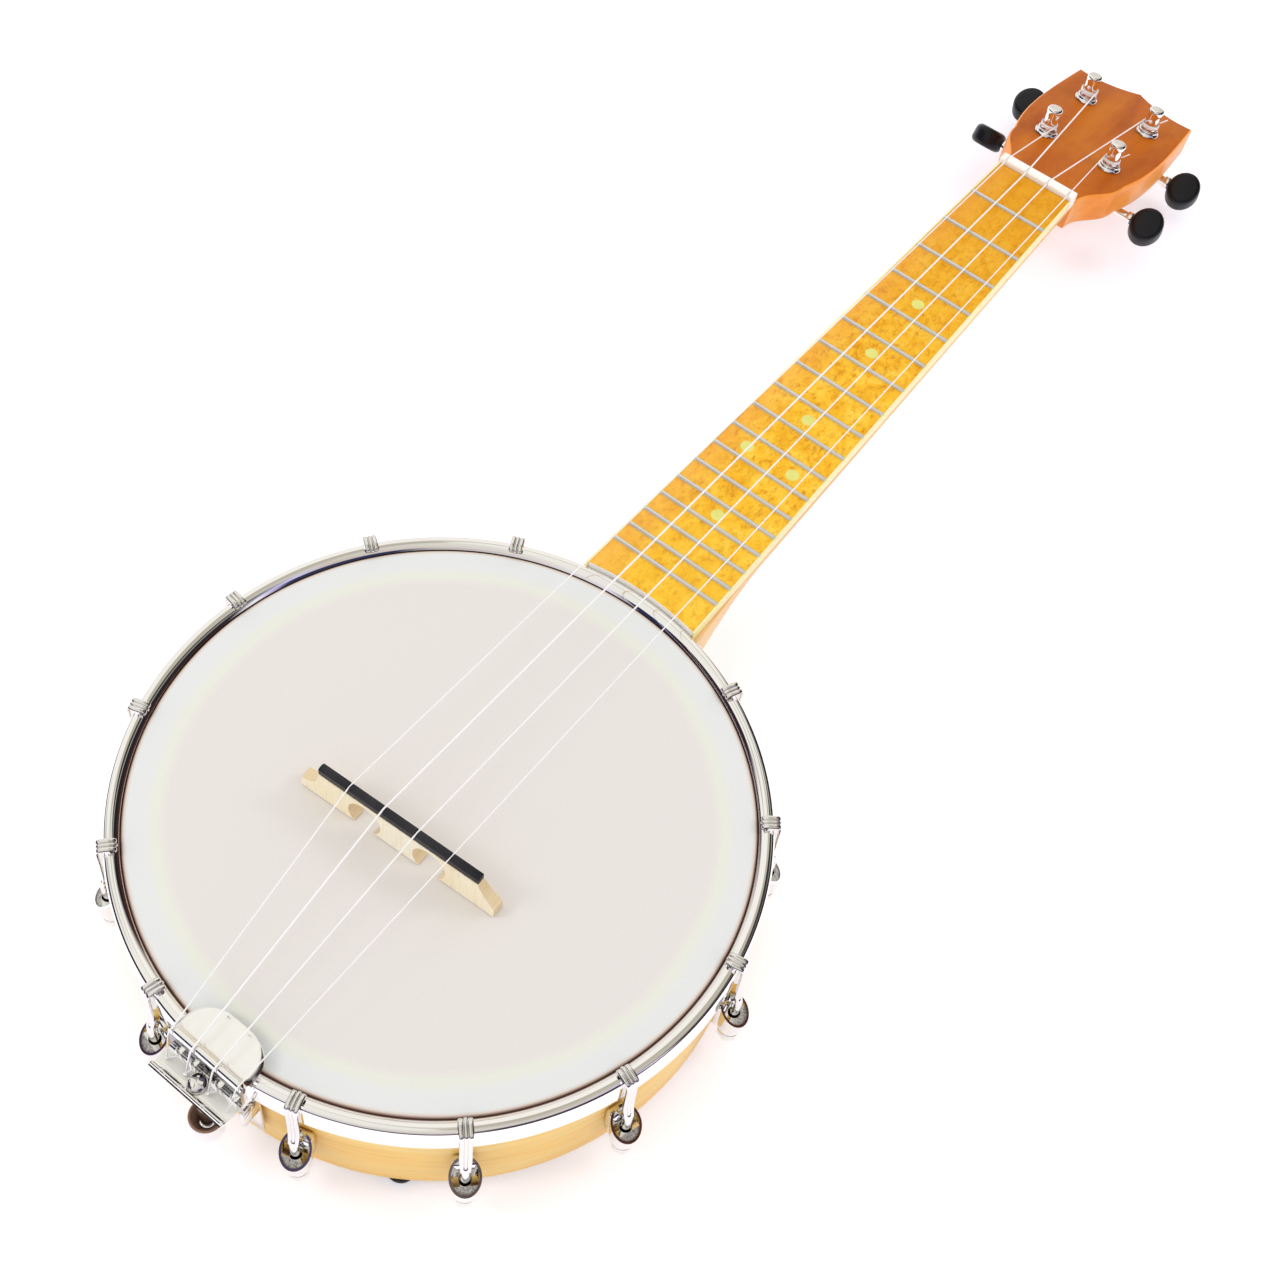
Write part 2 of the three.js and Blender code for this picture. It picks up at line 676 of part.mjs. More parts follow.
function bridgeBodyGeometry() {
  const half = bridgeLength / 2;
  const front = new THREE.Shape();
  front.moveTo(-half, 0);
  front.lineTo(half, 0);
  front.lineTo(half, bridgeEndHeight);
  front.quadraticCurveTo(capLength / 2 + capHeight, bridgeEndHeight * 2, capLength / 2, bridgeBodyHeight);
  front.lineTo(-capLength / 2, bridgeBodyHeight);
  front.quadraticCurveTo(-capLength / 2 - capHeight, bridgeEndHeight * 2, -half, bridgeEndHeight);
  front.closePath();
  const plain = new THREE.ExtrudeGeometry(front, {
    depth: bridgeFootThickness, bevelEnabled: false, curveSegments: 3,
  }).translate(0, 0, -bridgeFootThickness / 2);
  plain.rotateX(90 * degree).rotateZ(90 * degree);
  const arches = [-1, 1].map((side) => {
    const bore = rod(bridgeArchRadius, -bridgeFootThickness, bridgeFootThickness, bridgeArchFacets);
    return alongX(bore, bridgeArchRise).translate(0, side * bridgeArchOffset, 0);
  });
  const lean = Math.atan2((bridgeFootThickness - bridgeTopThickness) / 2, bridgeBodyHeight);
  const wedges = [-1, 1].map((side) => {
    const wedge = block(0, bridgeFootThickness, -bridgeLength, bridgeLength, -bridgeHeight, 2 * bridgeHeight);
    wedge.rotateY(-lean).translate(bridgeFootThickness / 2, 0, 0);
    return side > 0 ? wedge : wedge.rotateZ(180 * degree);
  });
  return cut(plain, ...arches, ...wedges);
}
bridgeGroup.add(piece('bridge_body', bridgeBodyGeometry(), bridgeMaple));

function bridgeCapGeometry() {
  const underZ = bridgeBodyHeight + seatGap;
  const cap = block(-capThickness / 2, capThickness / 2, -capLength / 2, capLength / 2, underZ, bridgeHeight);
  return cut(cap, ...stringDiameters.map((_, i) => {
    const y = stringPlace(i, bridgeStringSpacing);
    return block(-capThickness, capThickness, y - capSlotWidth / 2, y + capSlotWidth / 2,
      bridgeHeight - capSlotDepth, bridgeHeight + cutOverrun);
  }));
}
bridgeGroup.add(piece('bridge_cap', bridgeCapGeometry(), ebony));

// Neck frame and headstock frame
const neckGroup = new THREE.Group();
neckGroup.position.set(0, 0, boardFaceAtPotAxis);
neckGroup.rotation.y = neckBackTurn * degree;
assembly.add(neckGroup);
const headGroup = new THREE.Group();
const headStart = nutDistance + seatGap + nutThickness + seatGap;
headGroup.position.set(headStart, 0, -headFaceDrop);
headGroup.rotation.y = headTurn * degree;
neckGroup.add(headGroup);
assembly.updateMatrixWorld(true);
const potToNeck = neckGroup.matrixWorld.clone().invert();
const headToNeck = headGroup.matrix.clone();

const neckTopW = -boardThickness - seatGap;

function boardHalfWidth(u) {
  return THREE.MathUtils.mapLinear(u, boardStart, nutDistance, boardHalfWidthAtPot, boardHalfWidthAtNut);
}

// One ring of the neck: flat on top and round below
function neckRing(u, halfWidth, depth, topW = neckTopW) {
  const ring = [];
  for (let i = 0; i <= neckArcSteps; i += 1) {
    const turn = (i / neckArcSteps) * 180 * degree;
    const y = halfWidth * Math.sign(Math.cos(turn)) * Math.abs(Math.cos(turn)) ** (2 / neckRoundness);
    ring.push(new THREE.Vector3(u, y, topW - depth * Math.sin(turn) ** (2 / neckRoundness)));
  }
  return ring;
}

function neckShaftGeometry() {
  const heelEnd = rimOuterRadius - cutOverrun;
  const heelShares = [0, 0.2, 0.36, 0.52, 0.72, 1];
  const heelDepthShares = [1, 0.93, 0.74, 0.46, 0.16, 0];
  const heelWidthShares = [1, 0.74, 0.4, 0.16, 0.04, 0];
  const rings = heelShares.map((share, i) => {
    const u = heelEnd + share * heelLength;
    const plainHalf = boardHalfWidth(u);
    return neckRing(u, plainHalf + (heelHalfWidth - plainHalf) * heelWidthShares[i],
      neckDepthAtHeel + (heelDepth - neckDepthAtHeel) * heelDepthShares[i]);
  });
  const shaftStart = heelEnd + heelLength;
  const shaftShares = [0.3, 0.65, 1];
  shaftShares.forEach((share) => {
    const u = THREE.MathUtils.lerp(shaftStart, nutDistance, share);
    rings.push(neckRing(u, boardHalfWidth(u), THREE.MathUtils.lerp(neckDepthAtHeel, neckDepthAtNut, share)));
  });
  rings.push(neckRing(headStart, boardHalfWidthAtNut, neckDepthAtNut));
  const sinkTop = -headFaceDrop - neckRunIntoHead * Math.tan(headTurn * degree) - neckSinkIntoHead;
  rings.push(neckRing(headStart + neckRunIntoHead, boardHalfWidthAtNut, headThickness - 2 * neckSinkIntoHead,
    sinkTop));
  return loft(rings);
}

function headOutline() {
  const outline = new THREE.Shape();
  outline.moveTo(0, -boardHalfWidthAtNut);
  outline.bezierCurveTo(headShoulderAt / 2, -boardHalfWidthAtNut, headShoulderAt / 2,
    -headShoulderHalfWidth, headShoulderAt, -headShoulderHalfWidth);
  outline.quadraticCurveTo(headWidestAt * 0.7, -headHalfWidth, headWidestAt, -headHalfWidth);
  outline.lineTo(headLength, -headEndHalfWidth);
  outline.quadraticCurveTo(headLength - headScoop, -headEndHalfWidth / 2, headLength + headPeak, 0);
  outline.quadraticCurveTo(headLength - headScoop, headEndHalfWidth / 2, headLength, headEndHalfWidth);
  outline.lineTo(headWidestAt, headHalfWidth);
  outline.quadraticCurveTo(headWidestAt * 0.7, headHalfWidth, headShoulderAt, headShoulderHalfWidth);
  outline.bezierCurveTo(headShoulderAt / 2, headShoulderHalfWidth, headShoulderAt / 2,
    boardHalfWidthAtNut, 0, boardHalfWidthAtNut);
  outline.closePath();
  return outline;
}

const tuners = [];
[1, -1].forEach((side) => {
  tunerStations.forEach((station) => tuners.push({ side, station }));
});

function neckGeometry() {
  const head = new THREE.ExtrudeGeometry(headOutline(), {
    depth: headThickness, bevelEnabled: false, curveSegments: headOutlineSteps,
  }).translate(0, 0, -headThickness).applyMatrix4(headToNeck);
  const postHoles = tuners.map(({ side, station }) => rod(bushSleeveRadius + seatGap,
    -headThickness - cutOverrun, cutOverrun).translate(station, side * tunerHalfSpread, 0)
    .applyMatrix4(headToNeck));
  const faceClear = block(0, headLength + 2 * headPeak, -2 * headHalfWidth, 2 * headHalfWidth, 0,
    headThickness).applyMatrix4(headToNeck);
  const hoopClear = rod(hoopOuterRadius + seatGap, -hoopDepth - 2 * seatGap, hoopDepth, ringFacets);
  const rimClear = rod(rimOuterRadius + seatGap, -2 * potDepth, hoopDepth, ringFacets);
  const rodBore = alongX(rod(rodRadius + seatGap, 0, rodHeelX + seatGap), rodZ);
  return cut(join(neckShaftGeometry(), head), faceClear, ...postHoles,
    hoopClear.applyMatrix4(potToNeck), rimClear.applyMatrix4(potToNeck), rodBore.applyMatrix4(potToNeck));
}
neckGroup.add(piece('neck', neckGeometry(), neckWood));

// Fingerboard with its frets, hollowed at the end to follow the hoop
function fretDistance(number) {
  return nutDistance - scaleLength * (1 - 2 ** (-number / 12));
}

function fingerboardGeometry() {
  const start = boardStart - cutOverrun - boardThickness;
  const board = new THREE.Shape();
  board.moveTo(start, -boardHalfWidth(start));
  board.lineTo(nutDistance, -boardHalfWidthAtNut);
  board.lineTo(nutDistance, boardHalfWidthAtNut);
  board.lineTo(start, boardHalfWidth(start));
  board.closePath();
  const plank = new THREE.ExtrudeGeometry(board, { depth: boardThickness, bevelEnabled: false });
  plank.translate(0, 0, -boardThickness);
  const frets = [];
  for (let number = 1; number <= fretCount; number += 1) {
    const u = fretDistance(number);
    frets.push(slab([
      [u - fretWidth / 2, -fretHeight],
      [u + fretWidth / 2, -fretHeight],
      [u + fretWidth / 2, fretHeight / 3],
      [u + fretCrown / 2, fretHeight],
      [u - fretCrown / 2, fretHeight],
      [u - fretWidth / 2, fretHeight / 3],
    ], 2 * (boardHalfWidth(u) - fretInset)));
  }
  const hoopClear = rod(hoopOuterRadius + seatGap, -hoopDepth, hoopDepth, ringFacets);
  return cut(join(plank, ...frets), hoopClear.applyMatrix4(potToNeck));
}
neckGroup.add(piece('fingerboard', fingerboardGeometry(), boardWood));

const nutFrontU = nutDistance + seatGap;
const nutBackU = nutFrontU + nutThickness;
const nutSlotFloor = nutRise - nutSlotDepth;

function nutGeometry() {
  const half = boardHalfWidthAtNut + nutOverhang;
  const under = neckTopW + seatGap;
  const body = slab([
    [nutFrontU, under],
    [nutBackU, under],
    [nutBackU, nutRise - nutThickness / 4],
    [nutBackU - nutThickness / 3, nutRise],
    [nutFrontU, nutRise],
  ], 2 * half);
  return cut(body, ...stringDiameters.map((_, i) => {
    const y = stringPlace(i, nutStringSpacing);
    return block(nutFrontU - cutOverrun, nutBackU + cutOverrun, y - nutSlotWidth / 2,
      y + nutSlotWidth / 2, nutSlotFloor, nutRise + cutOverrun);
  }));
}
neckGroup.add(piece('string_nut', nutGeometry(), boneWhite));

// Tuners: a bushed housing behind the headstock, a post with its wheel, and a worm shaft with a button
const backH = -headThickness;
const housingTopH = backH - seatGap;
const shaftH = backH - shaftBelowBack;
const housingUnderH = housingTopH - housingDepth;

function housingGeometry(side) {
  const fromS = -housingBehindPost;
  const toS = shaftOffset + housingPastShaft;
  const half = housingHalfWidth;
  const shell = block(fromS, toS, -half, half, housingUnderH, housingTopH);
  const sleeve = rod(bushSleeveRadius, housingTopH - housingWall / 2, bushHeight - seatGap);
  const washer = rod(bushRadius, seatGap, bushHeight);
  const hollow = block(fromS + housingWall, toS - housingWall, -half + housingWall, half - housingWall,
    housingUnderH + housingWall, housingTopH - housingWall);
  const postBore = rod(postRadius + bushRunningGap, housingUnderH + housingWall, bushHeight + cutOverrun);
  const shaftBore = rod(shaftRadius + shaftHoleGap, 0, side * (half + cutOverrun));
  shaftBore.rotateX(-90 * degree).translate(shaftOffset, 0, shaftH);
  return cut(join(shell, sleeve, washer), hollow, postBore, shaftBore);
}

function postGeometry() {
  const wheelUnder = shaftH - wheelThickness / 2;
  return turned([
    [0, wheelUnder],
    [wheelRadius, wheelUnder],
    [wheelRadius, wheelUnder + wheelThickness],
    [postRadius, wheelUnder + wheelThickness],
    [postRadius, bushHeight + postWaistTurnIn],
    [postWaistRadius, bushHeight + 2 * postWaistTurnIn],
    [postWaistRadius, postHeight - postFlareHeight],
    [postFlareRadius, postHeight - postFlareHeight / 2],
    [postFlareRadius, postHeight - postWaistTurnIn / 2],
    [postWaistRadius, postHeight],
    [0, postHeight],
  ], roundFacets);
}

function shaftGeometry(side) {
  const innerY = -side * (housingHalfWidth - housingWall - seatGap);
  const outerY = side * (buttonReach - tunerHalfSpread - buttonWidth / 2 + buttonBore - seatGap);
  const length = Math.abs(outerY - innerY);
  const shaft = new THREE.CylinderGeometry(shaftRadius, shaftRadius, length, roundFacets);
  return clean(shaft.translate(0, (innerY + outerY) / 2, 0));
}

// An oval thumb button with its own axis along Y, bored for the shaft from its inner side
function buttonGeometry(side) {
  const oval = new THREE.Shape();
  oval.absellipse(0, 0, buttonLength / 2 - buttonBevel, buttonWidth / 2 - buttonBevel, 0, 360 * degree);
  const body = new THREE.ExtrudeGeometry(oval, {
    depth: buttonThickness - 2 * buttonBevel,
    curveSegments: buttonFacets / 2,
    bevelThickness: buttonBevel,
    bevelSize: buttonBevel,
    bevelSegments: 1,
  }).translate(0, 0, -buttonThickness / 2 + buttonBevel);
  const bore = new THREE.CylinderGeometry(shaftRadius + seatGap, shaftRadius + seatGap,
    buttonBore + cutOverrun, roundFacets);
  bore.translate(0, side * ((buttonBore - cutOverrun - buttonWidth) / 2), 0);
  return cut(body, bore);
}

tuners.forEach(({ side, station }, i) => {
  const tuner = new THREE.Group();
  tuner.position.set(station, side * tunerHalfSpread, 0);
  headGroup.add(tuner);
  const label = `tuner_${i + 1}`;
  tuner.add(piece(`${label}_housing`, housingGeometry(side), chrome));
  tuner.add(piece(`${label}_post`, postGeometry(), chrome));
  const key = new THREE.Group();
  key.position.set(shaftOffset, 0, shaftH);
  tuner.add(key);
  key.add(piece(`${label}_shaft`, shaftGeometry(side), chrome));
  const button = piece(`${label}_button`, buttonGeometry(side), blackPlastic);
  button.position.y = side * (buttonReach - tunerHalfSpread);
  button.rotation.y = buttonTurns[i] * degree;
  key.add(button);
});

// Strings: from a tab over the ridge, the bridge and the nut, then round a post
assembly.updateMatrixWorld(true);
const outerTuners = [0, 1, 3, 2]; // which tuner each string runs to

function stringGeometry(i) {
  const radius = stringDiameters[i] / 2;
  const lift = seatGap + radius;
  const tailY = stringPlace(i, tailStringSpacing);
  const nutY = stringPlace(i, nutStringSpacing);
  const tailRoute = [
    new THREE.Vector3(tailWallOuterX - tailTabLength - lift, tailTabPlaces[i], tailTabTop),
    new THREE.Vector3(tailKnotX, tailKnotPlaces[i] - tailKnotWidth, tailTrayZ + lift),
    new THREE.Vector3(tailKnotX, tailKnotPlaces[i], tailTrayZ + lift),
    new THREE.Vector3(tailWallOuterX - lift, tailY, tailRidgeTop - tailSheet / 2 + lift / 2),
    new THREE.Vector3(tailRidgeX, tailY, tailRidgeTop + lift),
  ];
  const points = [
    ...tailRoute.map((point) => point.applyMatrix4(tailSkew)),
    bridgeGroup.localToWorld(new THREE.Vector3(0, stringPlace(i, bridgeStringSpacing),
      bridgeHeight - capSlotDepth + lift)),
    neckGroup.localToWorld(new THREE.Vector3(nutFrontU, nutY, nutSlotFloor + lift)),
    neckGroup.localToWorld(new THREE.Vector3(nutBackU - nutThickness / 3, nutY, nutSlotFloor + lift)),
  ];
  const { side, station } = tuners[outerTuners[i]];
  const wrapRadius = postWaistRadius + lift;
  const steps = Math.round(postWraps * postWrapSteps);
  for (let step = 0; step <= steps; step += 1) {
    const turn = side * (-90 + (step / postWrapSteps) * 360) * degree;
    points.push(headGroup.localToWorld(new THREE.Vector3(
      station + wrapRadius * Math.cos(turn),
      side * tunerHalfSpread + wrapRadius * Math.sin(turn),
      postWrapLift + bushHeight + postWrapPitch * (steps - step) / postWrapSteps - postWrapPitch,
    )));
  }
  return strand(points, radius);
}
stringDiameters.forEach((_, i) => {
  assembly.add(piece(`string_${i + 1}`, stringGeometry(i), nylon));
});

// The origin goes to the bottom centre of the finished instrument's box
const bounds = new THREE.Box3().setFromObject(assembly, true);
const centre = bounds.getCenter(new THREE.Vector3());
assembly.position.set(-centre.x, -centre.y, -bounds.min.z);

const instrument = new THREE.Group();
instrument.add(assembly);

export default instrument;
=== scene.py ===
import json
import math

import bmesh
import bpy
from mathutils import Matrix, Quaternion, Vector


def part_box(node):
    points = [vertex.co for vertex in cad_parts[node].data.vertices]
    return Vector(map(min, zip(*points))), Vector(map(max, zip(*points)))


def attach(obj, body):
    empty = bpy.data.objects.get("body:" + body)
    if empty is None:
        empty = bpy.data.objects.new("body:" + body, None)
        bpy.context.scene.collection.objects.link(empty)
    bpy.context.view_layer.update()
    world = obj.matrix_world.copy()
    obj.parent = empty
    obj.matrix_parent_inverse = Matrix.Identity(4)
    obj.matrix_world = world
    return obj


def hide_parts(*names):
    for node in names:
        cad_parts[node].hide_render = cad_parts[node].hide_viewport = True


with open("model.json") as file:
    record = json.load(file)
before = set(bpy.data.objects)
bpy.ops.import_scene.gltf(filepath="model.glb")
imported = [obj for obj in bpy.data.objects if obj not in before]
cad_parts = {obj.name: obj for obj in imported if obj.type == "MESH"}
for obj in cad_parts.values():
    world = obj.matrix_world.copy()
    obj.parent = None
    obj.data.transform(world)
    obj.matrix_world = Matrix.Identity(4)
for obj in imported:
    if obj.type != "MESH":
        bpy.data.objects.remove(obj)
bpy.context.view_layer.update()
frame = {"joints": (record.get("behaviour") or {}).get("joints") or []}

# Shapes are drawn in millimetres, and mm turns them into the frame's metres
mm = 0.001
degree = math.pi / 180
seat = 0.3  # gap between a piece and what it rests on


def placeAt(x=0.0, y=0.0, z=0.0, turn=0.0, axis="Z"):
    return Matrix.Translation((x, y, z)) @ Matrix.Rotation(turn * degree, 4, axis)


# The pot's frame starts at the middle of the hoop's top, and its X runs along the strings
hoopLow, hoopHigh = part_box("tension_hoop")
potCentre = Vector(((hoopLow.x + hoopHigh.x) / 2, (hoopLow.y + hoopHigh.y) / 2, hoopHigh.z))
potPlace = Matrix.Translation(potCentre)

# The neck's frame lies on the fingerboard's face and leans back
neckTilt = 1.5 * degree
boardAbovePot = 4.0  # over the hoop's top, at the pot's axis
boardOrigin = potCentre + Vector((0, 0, boardAbovePot * mm))
neckPlace = Matrix.Translation(boardOrigin) @ Matrix.Rotation(neckTilt, 4, "Y")

# The headstock's frame lies on its face and starts behind the nut
postStations = (36.2, 74.7)  # from the headstock's start
postSpread = 14.9  # from its centre line
postJoint = next(joint for joint in frame["joints"] if joint["name"] == "tuner_1_post_turn")
faceNormal = Vector(postJoint["axis"]).normalized()
headTilt = math.atan2(faceNormal.x, faceNormal.z)
headTurn = Matrix.Rotation(headTilt, 4, "Y")
headStart = Vector(postJoint["pos_m"]) - headTurn @ Vector((postStations[0] * mm, postSpread * mm, 0))
headPlace = Matrix.Translation(headStart) @ headTurn


# Camera at the photograph's angle
view = {"lens": 55.67, "from": (-214.7, -175.0, 539.3), "at": (87.55, -9.14, -1.3), "roll": 9.51}


def makeCamera():
    camera = bpy.data.objects.new("camera", bpy.data.cameras.new("camera"))
    camera.data.lens = view["lens"]
    camera.data.sensor_width = 36
    camera.data.clip_start = 0.01
    camera.location = potPlace @ (Vector(view["from"]) * mm)
    sight = Vector(view["at"]) - Vector(view["from"])
    turn = sight.to_track_quat("-Z", "Y") @ Quaternion((0, 0, 1), view["roll"] * degree)
    camera.rotation_mode = "QUATERNION"
    camera.rotation_quaternion = turn
    bpy.context.scene.collection.objects.link(camera)
    bpy.context.scene.camera = camera


makeCamera()


# Node helpers
def addNode(tree, kind, **values):
    node = tree.nodes.new(kind)
    for name, value in values.items():
        setattr(node, name, value)
    return node


def wire(tree, source, target):
    tree.links.new(source, target)


def feed(tree, socket, source):
    if isinstance(source, bpy.types.NodeSocket):
        wire(tree, source, socket)
    elif isinstance(source, tuple):
        socket.default_value = (*source, 1)
    else:
        socket.default_value = source


def newLook(name, color, roughness, **sockets):
    look = bpy.data.materials.new(name)
    look.use_nodes = True
    shader = look.node_tree.nodes["Principled BSDF"]
    shader.inputs["Base Color"].default_value = (*color, 1)
    shader.inputs["Roughness"].default_value = roughness
    for socket, value in sockets.items():
        shader.inputs[socket.replace("_", " ")].default_value = value
    return look, look.node_tree, shader


def mapping(tree, vector, location=(0, 0, 0), turn=(0, 0, 0), scale=(1, 1, 1)):
    node = addNode(tree, "ShaderNodeMapping", vector_type="POINT")
    node.inputs["Location"].default_value = location
    node.inputs["Rotation"].default_value = turn
    node.inputs["Scale"].default_value = scale
    wire(tree, vector, node.inputs["Vector"])
    return node.outputs["Vector"]


def objectCoordinates(tree, centre=(0, 0, 0), turn=(0, 0, 0), scale=(1, 1, 1)):
    coordinates = addNode(tree, "ShaderNodeTexCoord").outputs["Object"]
    centred = mapping(tree, coordinates, location=[-value for value in centre])
    return mapping(tree, centred, turn=turn, scale=scale)


def separate(tree, vector):
    node = addNode(tree, "ShaderNodeSeparateXYZ")
    wire(tree, vector, node.inputs["Vector"])
    return node.outputs


def noise(tree, vector, scale, detail=4.0, roughness=0.5, distortion=0.0):
    node = addNode(tree, "ShaderNodeTexNoise")
    node.inputs["Scale"].default_value = scale
    node.inputs["Detail"].default_value = detail
    node.inputs["Roughness"].default_value = roughness
    node.inputs["Distortion"].default_value = distortion
    wire(tree, vector, node.inputs["Vector"])
    return node.outputs["Fac"]


def ramp(tree, value, stops):
    node = addNode(tree, "ShaderNodeValToRGB")
    band = node.color_ramp
    while len(band.elements) < len(stops):
        band.elements.new(0.5)
    for element, (place, color) in zip(band.elements, stops):
        element.position = place
        element.color = (*color, 1)
    wire(tree, value, node.inputs["Fac"])
    return node.outputs["Color"]


# Turns a value's low-to-high span into another pair of values
def spread(tree, value, fromLow, fromHigh, toLow, toHigh):
    node = addNode(tree, "ShaderNodeMapRange")
    node.inputs["From Min"].default_value = fromLow
    node.inputs["From Max"].default_value = fromHigh
    node.inputs["To Min"].default_value = toLow
    node.inputs["To Max"].default_value = toHigh
    wire(tree, value, node.inputs["Value"])
    return node.outputs["Result"]


def mixColors(tree, share, first, second, blend="MIX"):
    node = addNode(tree, "ShaderNodeMix", data_type="RGBA", blend_type=blend)
    feed(tree, node.inputs["Factor"], share)
    feed(tree, node.inputs[6], first)  # sockets 6 and 7 are the two colours
    feed(tree, node.inputs[7], second)
    return node.outputs[2]


def maths(tree, operation, first, second=0.0):
    node = addNode(tree, "ShaderNodeMath", operation=operation)
    feed(tree, node.inputs[0], first)
    feed(tree, node.inputs[1], second)
    return node.outputs[0]


# Distance from the Z axis
def axisDistance(tree, parts):
    squares = [maths(tree, "POWER", parts[name], 2.0) for name in ("X", "Y")]
    return maths(tree, "POWER", maths(tree, "ADD", *squares), 0.5)


def bump(tree, shader, height, strength, distance):
    node = addNode(tree, "ShaderNodeBump")
    node.inputs["Strength"].default_value = strength
    node.inputs["Distance"].default_value = distance
    wire(tree, height, node.inputs["Height"])
    wire(tree, node.outputs["Normal"], shader.inputs["Normal"])


# Chrome: smudges change the gloss a little, and faint waves bend what it mirrors
chromeFinish = {
    "smudge": 90, "smudgeSpan": (0.35, 0.7), "tint": 35, "tintSpan": (0.3, 0.7), "tintShade": 0.97,
    "wave": 200, "waveHeight": 0.0003,
}


def makeChrome(name, color, smoothest, roughest, waviness):
    look, tree, shader = newLook(name, color, smoothest, Metallic=1.0)
    place = objectCoordinates(tree)
    smudge = noise(tree, place, chromeFinish["smudge"], detail=3)
    gloss = spread(tree, smudge, *chromeFinish["smudgeSpan"], smoothest, roughest)
    wire(tree, gloss, shader.inputs["Roughness"])
    shaded = tuple(chromeFinish["tintShade"] * c for c in color)
    tint = noise(tree, place, chromeFinish["tint"], detail=2)
    tones = ramp(tree, tint, list(zip(chromeFinish["tintSpan"], (shaded, color))))
    wire(tree, tones, shader.inputs["Base Color"])
    wave = noise(tree, place, chromeFinish["wave"], detail=2)
    bump(tree, shader, wave, waviness, chromeFinish["waveHeight"])
    return look


# The rough cast face of a shoe's cut
castFinish = {
    "base": (0.45, 0.43, 0.38), "roughness": 0.5, "metallic": 0.85, "grit": 1500, "bump": (0.4, 0.0002),
    "tones": [(0.38, (0.36, 0.34, 0.3)), (0.5, (0.62, 0.6, 0.53)), (0.64, (0.85, 0.83, 0.76))],
}


def makeCastFace():
    look, tree, shader = newLook("cast satin", castFinish["base"], castFinish["roughness"],
                                 Metallic=castFinish["metallic"])
    grit = noise(tree, objectCoordinates(tree), castFinish["grit"], detail=3, roughness=0.7)
    wire(tree, ramp(tree, grit, castFinish["tones"]), shader.inputs["Base Color"])
    bump(tree, shader, grit, *castFinish["bump"])
    return look


# Steel brushed along X
satinFinish = {
    "brush": (40, 900, 900), "span": (0.3, 0.7), "smoother": 0.08, "rougher": 0.1, "bump": (0.08, 0.0002),
}


def makeSatinMetal(name, color, roughness):
    look, tree, shader = newLook(name, color, roughness, Metallic=1.0)
    brushed = noise(tree, objectCoordinates(tree, scale=satinFinish["brush"]), 1.0, detail=3)
    smoothest = roughness - satinFinish["smoother"]
    roughest = roughness + satinFinish["rougher"]
    gloss = spread(tree, brushed, *satinFinish["span"], smoothest, roughest)
    wire(tree, gloss, shader.inputs["Roughness"])
    bump(tree, shader, brushed, *satinFinish["bump"])
    return look


# Wood: broad streaks of tone, fine fibres and short dark pores, all drawn out along X
woodGrain = {
    "streaks": (1.0, 9.0, 9.0), "toneStops": (0.28, 0.5, 0.72),
    "fibres": (1.0, 22.0, 22.0), "fibreShare": 0.3,
    "fibreTones": [(0.3, (0.7, 0.55, 0.42)), (0.5, (1.0, 1.0, 1.0))],
    "poreScale": 2.3, "poreTones": [(0.66, (1.0, 1.0, 1.0)), (0.74, (0.66, 0.55, 0.45))],
    "strength": 0.06, "height": 0.0003,
}


def streakedWood(tree, shader, place, tones, fibre, pores, strength, coarse=5.0):
    streaks = mapping(tree, place, scale=woodGrain["streaks"])
    broad = noise(tree, streaks, coarse, detail=5, roughness=0.55, distortion=0.4)
    color = ramp(tree, broad, list(zip(woodGrain["toneStops"], tones)))
    fine = mapping(tree, place, scale=woodGrain["fibres"])
    fibres = noise(tree, fine, fibre, detail=6, roughness=0.65)
    light = ramp(tree, fibres, woodGrain["fibreTones"])
    color = mixColors(tree, woodGrain["fibreShare"], color, light, "MULTIPLY")
    dashes = noise(tree, fine, fibre * woodGrain["poreScale"], detail=2)
    color = mixColors(tree, pores, color, ramp(tree, dashes, woodGrain["poreTones"]), "MULTIPLY")
    wire(tree, color, shader.inputs["Base Color"])
    bump(tree, shader, fibres, strength, woodGrain["height"])
    return color


# The rim's grain runs round the pot, so its coordinates are the unrolled wall
rimFinish = {
    "tones": [(0.9, 0.44, 0.08), (1.0, 0.62, 0.15), (1.0, 0.76, 0.28)], "radius": 97.6,
    "fibre": 30, "pores": 0.5, "strength": 0.05, "coarse": 7,
}


def makeRimWood():
    look, tree, shader = newLook("rim lacquer", rimFinish["tones"][1], 0.4, Specular_IOR_Level=0.2,
                                 Coat_Weight=0.08, Coat_Roughness=0.1)
    parts = separate(tree, objectCoordinates(tree, centre=potCentre))
    turn = maths(tree, "ABSOLUTE", maths(tree, "ARCTAN2", parts["Y"], parts["X"]))
    unrolled = addNode(tree, "ShaderNodeCombineXYZ")
    wire(tree, maths(tree, "MULTIPLY", turn, rimFinish["radius"] * mm), unrolled.inputs["X"])
    wire(tree, parts["Z"], unrolled.inputs["Y"])
    wire(tree, axisDistance(tree, parts), unrolled.inputs["Z"])
    streakedWood(tree, shader, unrolled.outputs["Vector"], rimFinish["tones"], rimFinish["fibre"],
                 rimFinish["pores"], rimFinish["strength"], rimFinish["coarse"])
    return look


def makeWood(name, tones, roughness, coat, turn, fibre, pores, fade=None):
    look, tree, shader = newLook(name, tones[1], roughness, Specular_IOR_Level=0.2, Coat_Weight=coat,
                                 Coat_Roughness=0.1)
    place = objectCoordinates(tree, turn=(0, turn, 0))
    color = streakedWood(tree, shader, place, tones, fibre, pores, woodGrain["strength"])
    if fade:
        wire(tree, fade(tree, place, color), shader.inputs["Base Color"])
    return look


